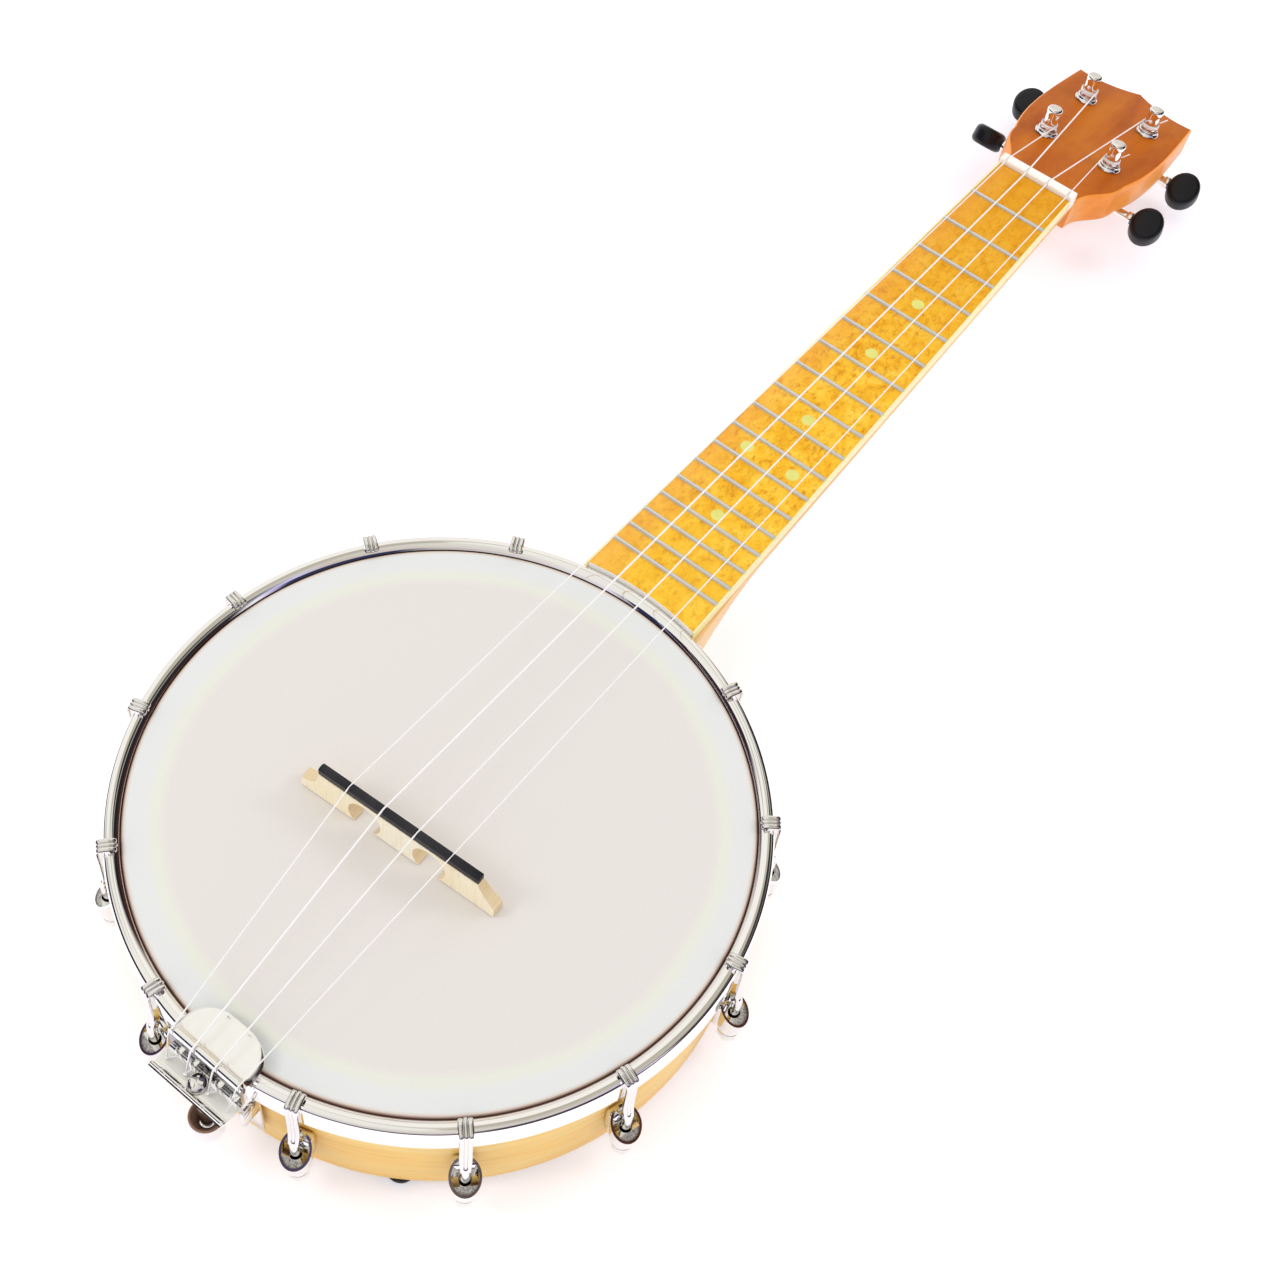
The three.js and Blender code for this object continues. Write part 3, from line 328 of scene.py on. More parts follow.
# The neck is more yellow near the pot and redder at the headstock; spans are in metres along it
neckFade = {
    "potSpan": (-0.075, -0.03), "potShare": 0.6, "potTone": (1.0, 0.74, 0.4),
    "headSpan": (0.17, 0.2), "headTone": (0.98, 0.6, 0.28),
}


def fadeNeck(tree, place, color):
    along = separate(tree, place)["X"]
    potShare = spread(tree, along, *neckFade["potSpan"], neckFade["potShare"], 0.0)
    color = mixColors(tree, potShare, color, neckFade["potTone"])
    headShare = spread(tree, along, *neckFade["headSpan"], 0.0, 1.0)
    shade = mixColors(tree, headShare, (1.0, 1.0, 1.0), neckFade["headTone"])
    return mixColors(tree, 1.0, color, shade, "MULTIPLY")


# The fingerboard: a clouded amber lacquer with small flecks, darker to the nut and to the +Y edge
boardFinish = {
    "base": (0.86, 0.42, 0.015), "cloud": 130,
    "cloudTones": [(0.34, (0.84, 0.4, 0.012)), (0.5, (0.96, 0.54, 0.03)), (0.66, (1.0, 0.66, 0.08))],
    "fleckStretch": (0.8, 1.2, 1.2), "fleck": 400, "fleckShare": 0.7, "bump": (0.04, 0.0002),
    "fleckTones": [(0.36, (0.6, 0.34, 0.08)), (0.5, (1.0, 1.0, 1.0))],
    # Each fade: coordinate, its span in metres, the share at both ends and the tone
    "fades": [("X", (0.04, 0.18), (0.0, 0.75), (0.71, 0.28, 0.004)),
              ("X", (-0.06, 0.0), (0.35, 0.0), (0.92, 0.56, 0.05)),
              ("Y", (0.006, 0.018), (0.0, 0.4), (0.86, 0.36, 0.1))],
}


def makeBoardWood():
    look, tree, shader = newLook("fingerboard lacquer", boardFinish["base"], 0.4, Specular_IOR_Level=0.12,
                                 Coat_Weight=0.03, Coat_Roughness=0.2)
    place = objectCoordinates(tree, turn=(0, neckTilt, 0))
    cloud = noise(tree, place, boardFinish["cloud"], detail=7, roughness=0.72, distortion=0.4)
    color = ramp(tree, cloud, boardFinish["cloudTones"])
    stretched = mapping(tree, place, scale=boardFinish["fleckStretch"])
    flecks = noise(tree, stretched, boardFinish["fleck"], detail=5, roughness=0.8)
    dark = ramp(tree, flecks, boardFinish["fleckTones"])
    color = mixColors(tree, boardFinish["fleckShare"], color, dark, "MULTIPLY")
    parts = separate(tree, place)
    for coordinate, span, shares, tone in boardFinish["fades"]:
        color = mixColors(tree, spread(tree, parts[coordinate], *span, *shares), color, tone)
    wire(tree, color, shader.inputs["Base Color"])
    bump(tree, shader, flecks, *boardFinish["bump"])
    return look


# The head's film, by the share of its radius: a warm middle, a cream ring and a pale rim, with painted shade
# that darkens the rim to near black where the film turns down inside the hoop
warmFilm = (0.755, 0.713, 0.677)
creamFilm = (0.768, 0.765, 0.68)
paleFilm = (0.755, 0.76, 0.745)
filmFinish = {
    "base": (0.83, 0.79, 0.75), "radius": 0.1, "wander": 22, "wanderSpan": (0.3, 0.7), "sway": 0.008,
    "rings": [(0.0, warmFilm), (0.82, warmFilm), (0.85, creamFilm), (0.865, creamFilm), (0.89, paleFilm),
              (1.0, paleFilm)],
    # Painted shade: the rim darkens to reddish black where the film turns down under the hoop
    "edge": [(0.945, (1, 1, 1)), (0.954, (0.92, 0.8, 0.72)), (0.9585, (0.55, 0.35, 0.27)),
             (0.962, (0.12, 0.04, 0.03))],
    "grit": 900, "gritShare": 0.06, "gritTones": [(0.35, (0.8, 0.8, 0.8)), (0.65, (1.0, 1.0, 1.0))],
    "bump": (0.08, 0.0001),
}


def makeFilm():
    look, tree, shader = newLook("frosted film", filmFinish["base"], 0.55, Specular_IOR_Level=0.25)
    centred = objectCoordinates(tree, centre=potCentre)
    share = maths(tree, "DIVIDE", axisDistance(tree, separate(tree, centred)), filmFinish["radius"])
    wander = noise(tree, centred, filmFinish["wander"], detail=2)
    sway = spread(tree, wander, *filmFinish["wanderSpan"], -filmFinish["sway"], filmFinish["sway"])
    color = ramp(tree, maths(tree, "ADD", share, sway), filmFinish["rings"])
    # Multiplies in the painted shade at the film's rim
    color = mixColors(tree, 1.0, color, ramp(tree, share, filmFinish["edge"]), "MULTIPLY")
    grit = noise(tree, centred, filmFinish["grit"], detail=2)
    specks = ramp(tree, grit, filmFinish["gritTones"])
    color = mixColors(tree, filmFinish["gritShare"], color, specks, "MULTIPLY")
    wire(tree, color, shader.inputs["Base Color"])
    bump(tree, shader, grit, *filmFinish["bump"])
    return look


# Plastic, nylon and painted pieces: a slight mottle of the colour and a fine grain
plasticFinish = {"mottleSpan": (0.3, 0.7), "bump": (0.06, 0.0002)}


def makePlastic(name, color, roughness, mottle, scale, grain, **sockets):
    look, tree, shader = newLook(name, color, roughness, **sockets)
    place = objectCoordinates(tree)
    cloud = noise(tree, place, scale, detail=4)
    darker = tuple((1 - mottle) * c for c in color)
    tones = ramp(tree, cloud, list(zip(plasticFinish["mottleSpan"], (darker, color))))
    wire(tree, tones, shader.inputs["Base Color"])
    bump(tree, shader, noise(tree, place, grain, detail=2), *plasticFinish["bump"])
    return look


looks = {
    # Chrome: colour, smoothest and roughest gloss, waviness
    "hoop": makeChrome("hoop chrome", (0.97, 0.96, 0.95), 0.03, 0.06, 0.01),
    "cast": makeChrome("cast chrome", (0.85, 0.84, 0.82), 0.05, 0.12, 0.03),
    "plate": makeChrome("tailpiece chrome", (0.97, 0.96, 0.93), 0.1, 0.17, 0.01),
    # A near-black chrome for the plate's wall behind the ridge: painted shade
    "paintedWallShade": makeChrome("painted plate shade", (0.15, 0.15, 0.18), 0.08, 0.16, 0.01),
    "tuner": makeChrome("tuner chrome", (0.97, 0.96, 0.94), 0.06, 0.12, 0.03),
    "castFace": makeCastFace(),
    "steel": makeSatinMetal("satin steel", (0.72, 0.7, 0.67), 0.3),
    # Wood: three tones, roughness, coat, turn of the grain, scale of the fibres, strength of the pores
    "rim": makeRimWood(),
    "neck": makeWood("neck lacquer", [(0.83, 0.38, 0.08), (0.97, 0.55, 0.19), (1.0, 0.67, 0.31)],
                     0.36, 0.1, neckTilt, 24, 0.6, fadeNeck),
    "face": makeWood("headstock lacquer", [(0.4, 0.075, 0.001), (0.54, 0.13, 0.002), (0.66, 0.2, 0.006)],
                     0.46, 0.0, headTilt, 18, 0.3),
    "board": makeBoardWood(),
    "maple": makeWood("bare maple", [(0.93, 0.8, 0.56), (0.97, 0.87, 0.65), (0.98, 0.91, 0.74)],
                      0.6, 0.0, 90 * degree, 60, 0.15),
    "mapleCut": makeWood("sawn maple", [(0.62, 0.46, 0.25), (0.76, 0.6, 0.38), (0.85, 0.72, 0.5)],
                         0.7, 0.0, 0, 60, 0.4),
    "ebony": makeWood("oiled ebony", [(0.01, 0.01, 0.014), (0.018, 0.017, 0.022), (0.035, 0.033, 0.04)],
                      0.42, 0.03, 0, 60, 0.4),
    # Others: colour, roughness, strength and scale of the mottle, scale of the grain
    "plateTop": makePlastic("plate satin", (0.93, 0.92, 0.86), 0.3, 0.03, 160, 900, Metallic=0.35),
    # Brown on the lug's upward faces: a painted reflection in place of what the chrome mirrors there
    "lugPaintedReflection": makePlastic("lug painted reflection", (0.36, 0.21, 0.14), 0.4, 0.3, 300, 900, Metallic=0.3),
    "fret": makePlastic("fret wire", (0.74, 0.75, 0.73), 0.35, 0.05, 90, 500, Metallic=0.55),
    # Its bright yellow is partly the binding's own cream and partly a painted highlight along the board's
    # rounded edges
    "binding": makePlastic("cream binding and painted edge highlight", (0.97, 0.86, 0.42), 0.35, 0.06, 80, 700, Coat_Weight=0.2),
    "dot": makePlastic("pearl dot", (0.8, 0.78, 0.2), 0.3, 0.12, 300, 500, Coat_Weight=0.2),
    "nut": makePlastic("ivory nut", (0.96, 0.93, 0.87), 0.35, 0.03, 120, 600),
    "film": makeFilm(),
    "string": makePlastic("nylon string", (0.95, 0.92, 0.92), 0.3, 0.03, 200, 900, Coat_Weight=0.3),
    "button": makePlastic("black button", (0.006, 0.006, 0.009), 0.32, 0.15, 90, 500, Specular_IOR_Level=0.3),
    "rubber": makePlastic("black rubber", (0.02, 0.02, 0.022), 0.7, 0.2, 200, 1500),
}
print("materials ready")


# Mesh helpers: each shape is a bmesh in millimetres
def joinShapes(*shapes):
    whole = shapes[0]
    for shape in shapes[1:]:
        carrier = bpy.data.meshes.new("carrier")
        shape.to_mesh(carrier)
        shape.free()
        whole.from_mesh(carrier)
        bpy.data.meshes.remove(carrier)
    return whole


def moveShape(shape, matrix):
    bmesh.ops.transform(shape, matrix=matrix, verts=shape.verts)
    return shape


def bevelShape(shape, geometry, size, segments=2, affect="EDGES"):
    bmesh.ops.bevel(shape, geom=geometry, offset=size, offset_type="OFFSET", segments=segments, profile=0.5,
                    affect=affect, clamp_overlap=affect == "EDGES", material=-1)


# Revolves a closed [radius, z] outline about Z; rounding gives some corners a radius
def spinOutline(corners, rounding=None, steps=192, segments=5):
    shape = bmesh.new()
    ring = [shape.verts.new((radius, 0, z)) for radius, z in corners]
    shape.faces.new(ring)
    for index, size in (rounding or {}).items():
        bevelShape(shape, [ring[index]], size, segments, "VERTICES")
    bmesh.ops.delete(shape, geom=shape.faces[:], context="FACES_ONLY")
    onAxis = [edge for edge in shape.edges if all(abs(vert.co.x) < 1e-6 for vert in edge.verts)]
    bmesh.ops.delete(shape, geom=onAxis, context="EDGES")
    bmesh.ops.spin(shape, geom=shape.verts[:] + shape.edges[:], cent=(0, 0, 0), axis=(0, 0, 1),
                   angle=2 * math.pi, steps=steps, use_merge=True)
    bmesh.ops.remove_doubles(shape, verts=shape.verts, dist=1e-4)
    bmesh.ops.dissolve_degenerate(shape, edges=shape.edges, dist=1e-5)
    bmesh.ops.recalc_face_normals(shape, faces=shape.faces)
    return shape


# Raises a flat shape into a slab
def raiseFaces(shape, height):
    grown = bmesh.ops.extrude_face_region(shape, geom=shape.faces[:])
    raised = [item for item in grown["geom"] if isinstance(item, bmesh.types.BMVert)]
    bmesh.ops.translate(shape, verts=raised, vec=(0, 0, height))
    bmesh.ops.recalc_face_normals(shape, faces=shape.faces)
    return shape


# Extrudes a flat outline along Z and rounds the edges of both its ends
def extrudeOutline(outline, fromZ, toZ, bevel=0.0, segments=2):
    shape = bmesh.new()
    shape.faces.new([shape.verts.new((x, y, fromZ)) for x, y in outline])
    raiseFaces(shape, toZ - fromZ)
    if bevel:
        rims = [edge for edge in shape.edges if abs(edge.verts[0].co.z - edge.verts[1].co.z) < 1e-6]
        bevelShape(shape, rims, bevel, segments)
    return shape


def roundedBox(low, high, bevel=0.0, segments=2):
    shape = bmesh.new()
    bmesh.ops.create_cube(shape, size=1)
    bmesh.ops.scale(shape, vec=[b - a for a, b in zip(low, high)], verts=shape.verts)
    bmesh.ops.translate(shape, vec=[(a + b) / 2 for a, b in zip(low, high)], verts=shape.verts)
    if bevel:
        bevelShape(shape, shape.edges[:], bevel, segments)
    return shape


def cylinder(radius, fromZ, toZ, bevel=0.0, steps=32):
    corners = [(0, fromZ), (radius, fromZ), (radius, toZ), (0, toZ)]
    return spinOutline(corners, {1: bevel, 2: bevel} if bevel else None, steps, 3)


def hexagon(radius, fromZ, toZ, bevel):
    shape = bmesh.new()
    bmesh.ops.create_cone(shape, cap_ends=True, segments=6, radius1=radius, radius2=radius, depth=toZ - fromZ)
    bmesh.ops.translate(shape, vec=(0, 0, (fromZ + toZ) / 2), verts=shape.verts)
    bevelShape(shape, shape.edges[:], bevel)
    return shape


def smoothStep(share):
    share = max(0.0, min(1.0, share))
    return share * share * (3 - 2 * share)


def blend(first, second, share):
    return first + (second - first) * share


def bezier(first, second, third, fourth, steps):
    points = []
    for step in range(steps):
        t = step / steps
        weights = ((1 - t) ** 3, 3 * (1 - t) ** 2 * t, 3 * (1 - t) * t * t, t ** 3)
        points.append(tuple(sum(w * p[axis] for w, p in zip(weights, (first, second, third, fourth)))
                            for axis in (0, 1)))
    return points


# Points spaced evenly along a smooth curve through the given points
def smoothRoute(points, count, steps=16):
    knots = [points[0], *points, points[-1]]
    fine = []
    for index in range(1, len(knots) - 2):
        before, first, second, after = (Vector(knot) for knot in knots[index - 1:index + 3])
        for step in range(steps):
            t = step / steps
            fine.append(0.5 * (2 * first + (second - before) * t
                               + (2 * before - 5 * first + 4 * second - after) * t * t
                               + (3 * first - before - 3 * second + after) * t ** 3))
    fine.append(Vector(points[-1]))
    lengths = [0.0]
    for first, second in zip(fine, fine[1:]):
        lengths.append(lengths[-1] + (second - first).length)
    route = []
    place = 0
    for step in range(count):
        goal = lengths[-1] * step / (count - 1)
        while place < len(fine) - 2 and lengths[place + 1] < goal:
            place += 1
        span = lengths[place + 1] - lengths[place]
        route.append(fine[place].lerp(fine[place + 1], (goal - lengths[place]) / span if span else 0.0))
    return route


# A sheet that follows a side route of [x, z] points with its outside on the left of the way;
# form gives each point's y and its depth under the route
def bentStrip(route, columns, thickness, form):
    rows = len(route)
    strip = bmesh.new()
    bmesh.ops.create_grid(strip, x_segments=rows - 1, y_segments=columns, size=1)
    normals = []
    for row in range(rows):
        along = route[min(row + 1, rows - 1)] - route[max(row - 1, 0)]
        normals.append(Vector((-along.y, along.x)).normalized())
    for vert in strip.verts:
        row = round((vert.co.x + 1) / 2 * (rows - 1))
        y, depth = form(row / (rows - 1), vert.co.y, route[row])
        spot = route[row] - normals[row] * depth
        vert.co = Vector((spot.x, y, spot.y))
    bmesh.ops.recalc_face_normals(strip, faces=strip.faces)
    strip.normal_update()
    middle = rows // 2
    middleSpot = Vector((route[middle].x, 0, route[middle].y))
    outward = Vector((normals[middle].x, 0, normals[middle].y))
    nearest = min(strip.faces, key=lambda face: (face.calc_center_median() - middleSpot).length)
    if nearest.normal.dot(outward) < 0:
        bmesh.ops.reverse_faces(strip, faces=strip.faces)
    bmesh.ops.solidify(strip, geom=strip.faces[:], thickness=thickness)
    bmesh.ops.recalc_face_normals(strip, faces=strip.faces)
    return strip


# Cuts tools out of a shape, or joins them to it, with Blender's exact boolean
def combine(shape, tools, operation="DIFFERENCE"):
    holders = []
    for source in (shape, *tools):
        mesh = bpy.data.meshes.new("boolean")
        bmesh.ops.recalc_face_normals(source, faces=source.faces)
        source.to_mesh(mesh)
        source.free()
        holder = bpy.data.objects.new("boolean", mesh)
        bpy.context.scene.collection.objects.link(holder)
        holders.append(holder)
    for tool in holders[1:]:
        modifier = holders[0].modifiers.new("boolean", "BOOLEAN")
        modifier.operation = operation
        modifier.solver = "EXACT"
        modifier.object = tool
    bpy.context.view_layer.update()
    result = holders[0].evaluated_get(bpy.context.evaluated_depsgraph_get()).to_mesh()
    whole = bmesh.new()
    whole.from_mesh(result)
    for holder in holders:
        mesh = holder.data
        bpy.data.objects.remove(holder)
        bpy.data.meshes.remove(mesh)
    return whole


# Gives each face the look whose number lookOf returns for its normal and its middle
def paintFaces(shape, lookOf):
    shape.normal_update()
    for face in shape.faces:
        face.material_index = lookOf(face.normal, face.calc_center_median())


# Puts a finished shape in the scene; extras are its further looks, smooth the angle of its sharp edges
def makePiece(name, shape, place, look, body="instrument", smooth=32, stands=(), extras=(),
              modifiers=()):
    moveShape(shape, place @ Matrix.Scale(mm, 4))
    mesh = bpy.data.meshes.new(name)
    shape.to_mesh(mesh)
    shape.free()
    mesh.shade_smooth()
    mesh.set_sharp_from_angle(angle=smooth * degree)
    for part in (look, *extras):
        mesh.materials.append(looks[part])
    piece = bpy.data.objects.new(name, mesh)
    bpy.context.scene.collection.objects.link(piece)
    for kind, values in modifiers:
        modifier = piece.modifiers.new(kind.lower(), kind)
        for key, value in values.items():
            setattr(modifier, key, value)
    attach(piece, body)
    if stands:
        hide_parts(*stands)
    return piece


shoeEdges = ("BEVEL", {"width": 0.0003, "segments": 3, "limit_method": "ANGLE", "angle_limit": 35 * degree})
softEdges = ("BEVEL", {"width": 0.00025, "segments": 2, "limit_method": "ANGLE", "angle_limit": 40 * degree})


# Pot: rim, tone ring, head, hoop, feet and the rod through it
pot = {
    "rimOuter": 97.6, "rimInner": 88.5, "rimTop": -5.2, "rimUnder": -55.4, "rimTopRound": 0.5,
    "rimRound": 1.4,
    "toneInner": 90.5, "toneOuter": 95.0, "toneTop": -2.0, "toneUnder": -4.9, "toneUnderRound": 0.4,
    "toneRound": 1.2,
    "filmTop": -1.15, "filmThickness": 0.35, "collar": 96.2, "fleshTop": -2.9, "fleshLedge": 1.2,
    "fleshUnder": -7.9, "fleshOuter": 99.8, "fleshInner": 97.9,
    # The hoop's flange leans up to a peak, slopes down by the fall and turns into the skirt at its edge
    "hoopInner": 96.5, "hoopPeak": 99.4, "hoopLean": 50, "hoopOuter": 101.6, "hoopFlare": 0.12,
    "hoopFall": 0.06, "hoopEdge": 1.5, "hoopEdgeTurn": 8, "hoopEdgeTall": 1.15, "hoopUnder": -10.6,
    "hoopFlange": 2.6, "hoopWall": 1.6, "hoopHole": 102.15,
    "footRadius": 5.0, "footHeight": 3.3, "footTaper": 0.92, "footTurns": (0, 148, -148), "footRing": 93.05,
    "rodRadius": 4.0, "rodZ": -31.0, "rodHeel": 14.0, "rodGap": 0.2, "rodChamfer": 0.6,
}
rodPlace = placeAt(z=pot["rodZ"], turn=90, axis="Y")


def makeRim():
    rim = spinOutline([(pot["rimInner"], pot["rimTop"]), (pot["rimOuter"], pot["rimTop"]),
                       (pot["rimOuter"], pot["rimUnder"]), (pot["rimInner"], pot["rimUnder"])],
                      {0: pot["rimTopRound"], 1: pot["rimTopRound"], 2: pot["rimRound"], 3: pot["rimRound"]})
    past = pot["rimOuter"] + 5
    bore = moveShape(cylinder(pot["rodRadius"] + pot["rodGap"], -past, past), rodPlace)
    makePiece("pot_rim", combine(rim, [bore]), potPlace, "rim", stands=["rim"])


def makeToneHoop():
    tone = spinOutline([(pot["toneInner"], pot["toneUnder"]), (pot["toneOuter"], pot["toneUnder"]),
                        (pot["toneOuter"], pot["toneTop"]), (pot["toneInner"], pot["toneTop"])],
                       {0: pot["toneUnderRound"], 1: pot["toneUnderRound"], 2: pot["toneRound"],
                        3: pot["toneRound"]})
    makePiece("tone_hoop", tone, potPlace, "steel", stands=["tone_ring"])


# The film turns down at its collar into the flesh hoop
def makeHead():
    under = pot["filmTop"] - pot["filmThickness"]
    inside = pot["collar"] - pot["filmThickness"]
    ledge = pot["fleshTop"] - pot["fleshLedge"]
    film = spinOutline([
        (0, pot["filmTop"]), (pot["collar"], pot["filmTop"]), (pot["collar"], pot["fleshTop"]),
        (pot["fleshOuter"], pot["fleshTop"]), (pot["fleshOuter"], pot["fleshUnder"]),
        (pot["fleshInner"], pot["fleshUnder"]), (pot["fleshInner"], ledge), (inside, ledge), (inside, under),
        (0, under)], {1: 0.9, 3: 0.6, 4: 0.6, 5: 0.5, 8: 0.6})
    makePiece("head_film", film, potPlace, "film", stands=["drum_head"])


# The hoop's upper side: a hollow lean inside the peak, a gentle slope outside it and a rounded outer edge
def hoopCrown(skirt):
    points = [(pot["hoopPeak"], 0)]
    leanSteps, slopeSteps, edgeSteps = 24, 8, 12
    stride = (pot["hoopPeak"] - pot["hoopInner"]) / leanSteps
    for step in range(leanSteps):
        lean = (step + 0.5) / leanSteps * pot["hoopLean"] * degree
        points.insert(0, (points[0][0] - stride, points[0][1] - stride * math.tan(lean)))
    edge = pot["hoopEdge"]
    fall = pot["hoopFall"]
    for step in range(1, slopeSteps + 1):
        share = step / slopeSteps
        points.append((blend(pot["hoopPeak"], skirt - edge, share), -fall * share ** 2))
    for step in range(1, edgeSteps + 1):
        turn = blend(pot["hoopEdgeTurn"], 90, step / edgeSteps) * degree
        drop = pot["hoopEdgeTall"] * edge * (1 - math.cos(turn))
        points.append((skirt - edge + edge * math.sin(turn), -fall - drop))
    return points


def makeHoop():
    outer = pot["hoopOuter"]
    inner = outer - pot["hoopWall"]
    under, flange = pot["hoopUnder"], -pot["hoopFlange"]
    hoop = spinOutline([*hoopCrown(outer - pot["hoopFlare"]), (outer, under), (inner, under), (inner, flange),
                        (pot["hoopInner"], flange)], None, 240)
    makePiece("hoop_ring", hoop, potPlace, "hoop", stands=["tension_hoop"])


def makeFeet():
    top = pot["rimUnder"] - seat
    under = top - pot["footHeight"]
    for index, turn in enumerate(pot["footTurns"], 1):
        foot = spinOutline([(0, top), (pot["footRadius"], top), (pot["footRadius"] * pot["footTaper"], under),
                            (0, under)], {1: 0.3, 2: 1.0}, 48)
        ring = pot["footRing"]
        moveShape(foot, placeAt(ring * math.cos(turn * degree), ring * math.sin(turn * degree)))
        makePiece(f"foot_{index}", foot, potPlace, "rubber", stands=[f"rubber_foot_{index}"])


def makeRod():
    heelEnd = pot["rimOuter"] + pot["rodHeel"]
    rod = cylinder(pot["rodRadius"], -pot["rimOuter"], heelEnd, pot["rodChamfer"], 48)
    makePiece("tie_rod", moveShape(rod, rodPlace), potPlace, "steel",
              stands=["coordinator_rod"])


makeRim()
makeToneHoop()
makeHead()
makeHoop()
makeFeet()
makeRod()
print("pot ready")


# Hooks, shoes, nuts and the bolts that hold the shoes from inside the rim
hook = {
    "first": 26.0, "step": 27.7, "perSide": 6, "axis": 104.0, "sheet": 1.4, "rows": 52, "columns": 36,
    # The claw narrows to the band under fadeFrom, and the band again to its end
    "width": 4.5, "fadeFrom": 1, "fade": 5, "bandWidth": 3.9, "endFrom": -16, "endFade": 8, "endWidth": 3.3,
    "groove": 0.42, "grooveAt": 0.27, "grooveFade": 0.1, "tip": 0.1, "tipFall": 0.25,
    "rod": 1.5, "bandEnd": -24.0, "end": -50.9, "chamfer": 0.8,
    "thread": 1.62, "threadRoot": 0.15, "pitch": 0.9, "threadAboveNut": 8,
    "nutTop": -44.3, "nutHeight": 5.0, "nutRadius": 3.6, "nutRound": 0.35,
    "collar": 0.9, "collarRadius": 3.78, "collarSink": 0.2,
    "outside": [(96.75, 0.2), (96.7, 0.85), (97.0, 1.4), (97.8, 1.75), (99.0, 1.9), (101.0, 1.95),
                (102.2, 1.85), (103.0, 1.4), (103.4, 0.5), (103.5, -1.0), (103.5, -5.0), (103.52, -10.0),
                (103.6, -15.0), (103.85, -18.5), (104.45, -21.5), (104.85, -23.2), (104.95, -24.0)],
    # The rod's blind end behind the band, as shares of its radius and rises above the band's end
    "dome": [(1, 0), (0.9, 0.9), (0.5, 2.1), (0, 2.6)],
}
shoe = {
    "radius": 5.0, "hole": 2.0, "pocket": 4.15, "pocketFloor": -33.0, "sunkFloor": -43, "sink": 0.4,
    "slope": 43.5, "slopeTop": -26.0, "above": -20, "below": -60, "bottomRound": 0.8,
    "foot": 7.2, "footDepth": 3.8, "footTop": -27.5, "footUnder": -41.0, "footRound": 1.0,
    "levels": [(3.0, -44.0), (3.75, -43.4), (4.35, -41.6), (4.7, -39.0), (4.86, -36.0), (4.9, -32.5),
               (4.9, -29.0), (4.9, -24.0)],
    "boltZ": -34.0, "washer": 4.6, "washerThick": 0.8, "boltHead": 3.4, "boltTop": 3.4,
}
hookTurns = [hook["first"] + i * hook["step"] for i in range(hook["perSide"])]
hookTurns += [-turn for turn in reversed(hookTurns)]
hookAxis = placeAt(hook["axis"])


# Three ribs run over the claw: two wide ones and a narrow one between them
def ribDepth(share):
    at = hook["grooveAt"]
    side = abs(share)
    crown = (side / at) ** 2 if side < at else ((side - (1 + at) / 2) / ((1 - at) / 2)) ** 2
    return crown ** 2


def hookForm(along, share, spot):
    down = smoothStep((hook["fadeFrom"] - spot.y) / hook["fade"])
    end = smoothStep((hook["endFrom"] - spot.y) / hook["endFade"])
    width = blend(hook["width"], hook["bandWidth"], down)
    width += (hook["endWidth"] - hook["bandWidth"]) * end
    depth = hook["groove"] * (1 - hook["grooveFade"] * down) * ribDepth(share)
    if along < hook["tip"] and abs(share) > hook["grooveAt"]:
        depth += hook["tipFall"] * (1 - along / hook["tip"])
    return share * width / 2, depth


def hookShape():
    band = bentStrip(smoothRoute(hook["outside"], hook["rows"]), hook["columns"], hook["sheet"], hookForm)
    radius = hook["rod"]
    dome = [(radius * share, hook["bandEnd"] + rise) for share, rise in hook["dome"]]
    rod = spinOutline([(0, hook["end"]), (radius * 0.8, hook["end"]), (radius, hook["end"] + hook["chamfer"]),
                       *dome], None, 32)
    threads = []
    root = radius - hook["threadRoot"]
    pitch = hook["pitch"]
    z = hook["end"] + 1.0
    while z < hook["nutTop"] + hook["threadAboveNut"]:
        ridge = [(root, z), (hook["thread"], z + pitch / 2), (root, z + pitch)]
        threads.append(spinOutline(ridge, None, 20))
        z += pitch
    return joinShapes(band, moveShape(joinShapes(rod, *threads), hookAxis))


def nutShape():
    top = hook["nutTop"]
    shoulder = top - hook["collar"]
    under = top - hook["nutHeight"]
    body = hexagon(hook["nutRadius"], under, shoulder + hook["collarSink"], hook["nutRound"])
    collar = cylinder(hook["collarRadius"], shoulder, top, 0.25)
    return moveShape(joinShapes(body, collar), hookAxis)


# A box over or under the slanted plane on which the shoe is cut, lowered by the offset
def slopeBox(offset, over):
    reach = 30
    box = roundedBox((-reach, -reach, 0 if over else -reach), (reach, reach, reach if over else 0))
    return moveShape(box, placeAt(-shoe["radius"], 0, shoe["slopeTop"] - offset, shoe["slope"], "Y"))


# A bulb cut at a slant, with a round pocket sunk into the cut and a hole for the hook's rod
def bulbShape():
    bottom, top = shoe["levels"][0][1], shoe["levels"][-1][1]
    bulb = spinOutline([(0, bottom), *shoe["levels"], (0, top)], {1: shoe["bottomRound"]}, 64)
    sunk = combine(cylinder(shoe["pocket"], shoe["sunkFloor"], shoe["above"], 0, 64),
                   [slopeBox(shoe["sink"], False)])
    pocket = cylinder(shoe["pocket"], shoe["pocketFloor"], shoe["above"], 0, 64)
    hole = cylinder(shoe["hole"], shoe["below"], 0)
    bulb = combine(bulb, [slopeBox(0, True), sunk, pocket, hole])
    cut = Matrix.Rotation(shoe["slope"] * degree, 3, "Y") @ Vector((0, 0, 1))
    slopeStart = Vector((-shoe["radius"], 0, shoe["slopeTop"]))

    def sunkFace(normal, middle):
        return 1 if normal.dot(cut) > 0.99 and (slopeStart - middle).dot(cut) > shoe["sink"] / 2 else 0

    paintFaces(bulb, sunkFace)
    return moveShape(bulb, hookAxis)


def footShape():
    near = pot["rimOuter"] + seat
    half = shoe["foot"] / 2
    foot = roundedBox((near, -half, shoe["footUnder"]), (near + shoe["footDepth"], half, shoe["footTop"]),
                      shoe["footRound"], 3)
    return combine(foot, [moveShape(slopeBox(0, True), hookAxis)])


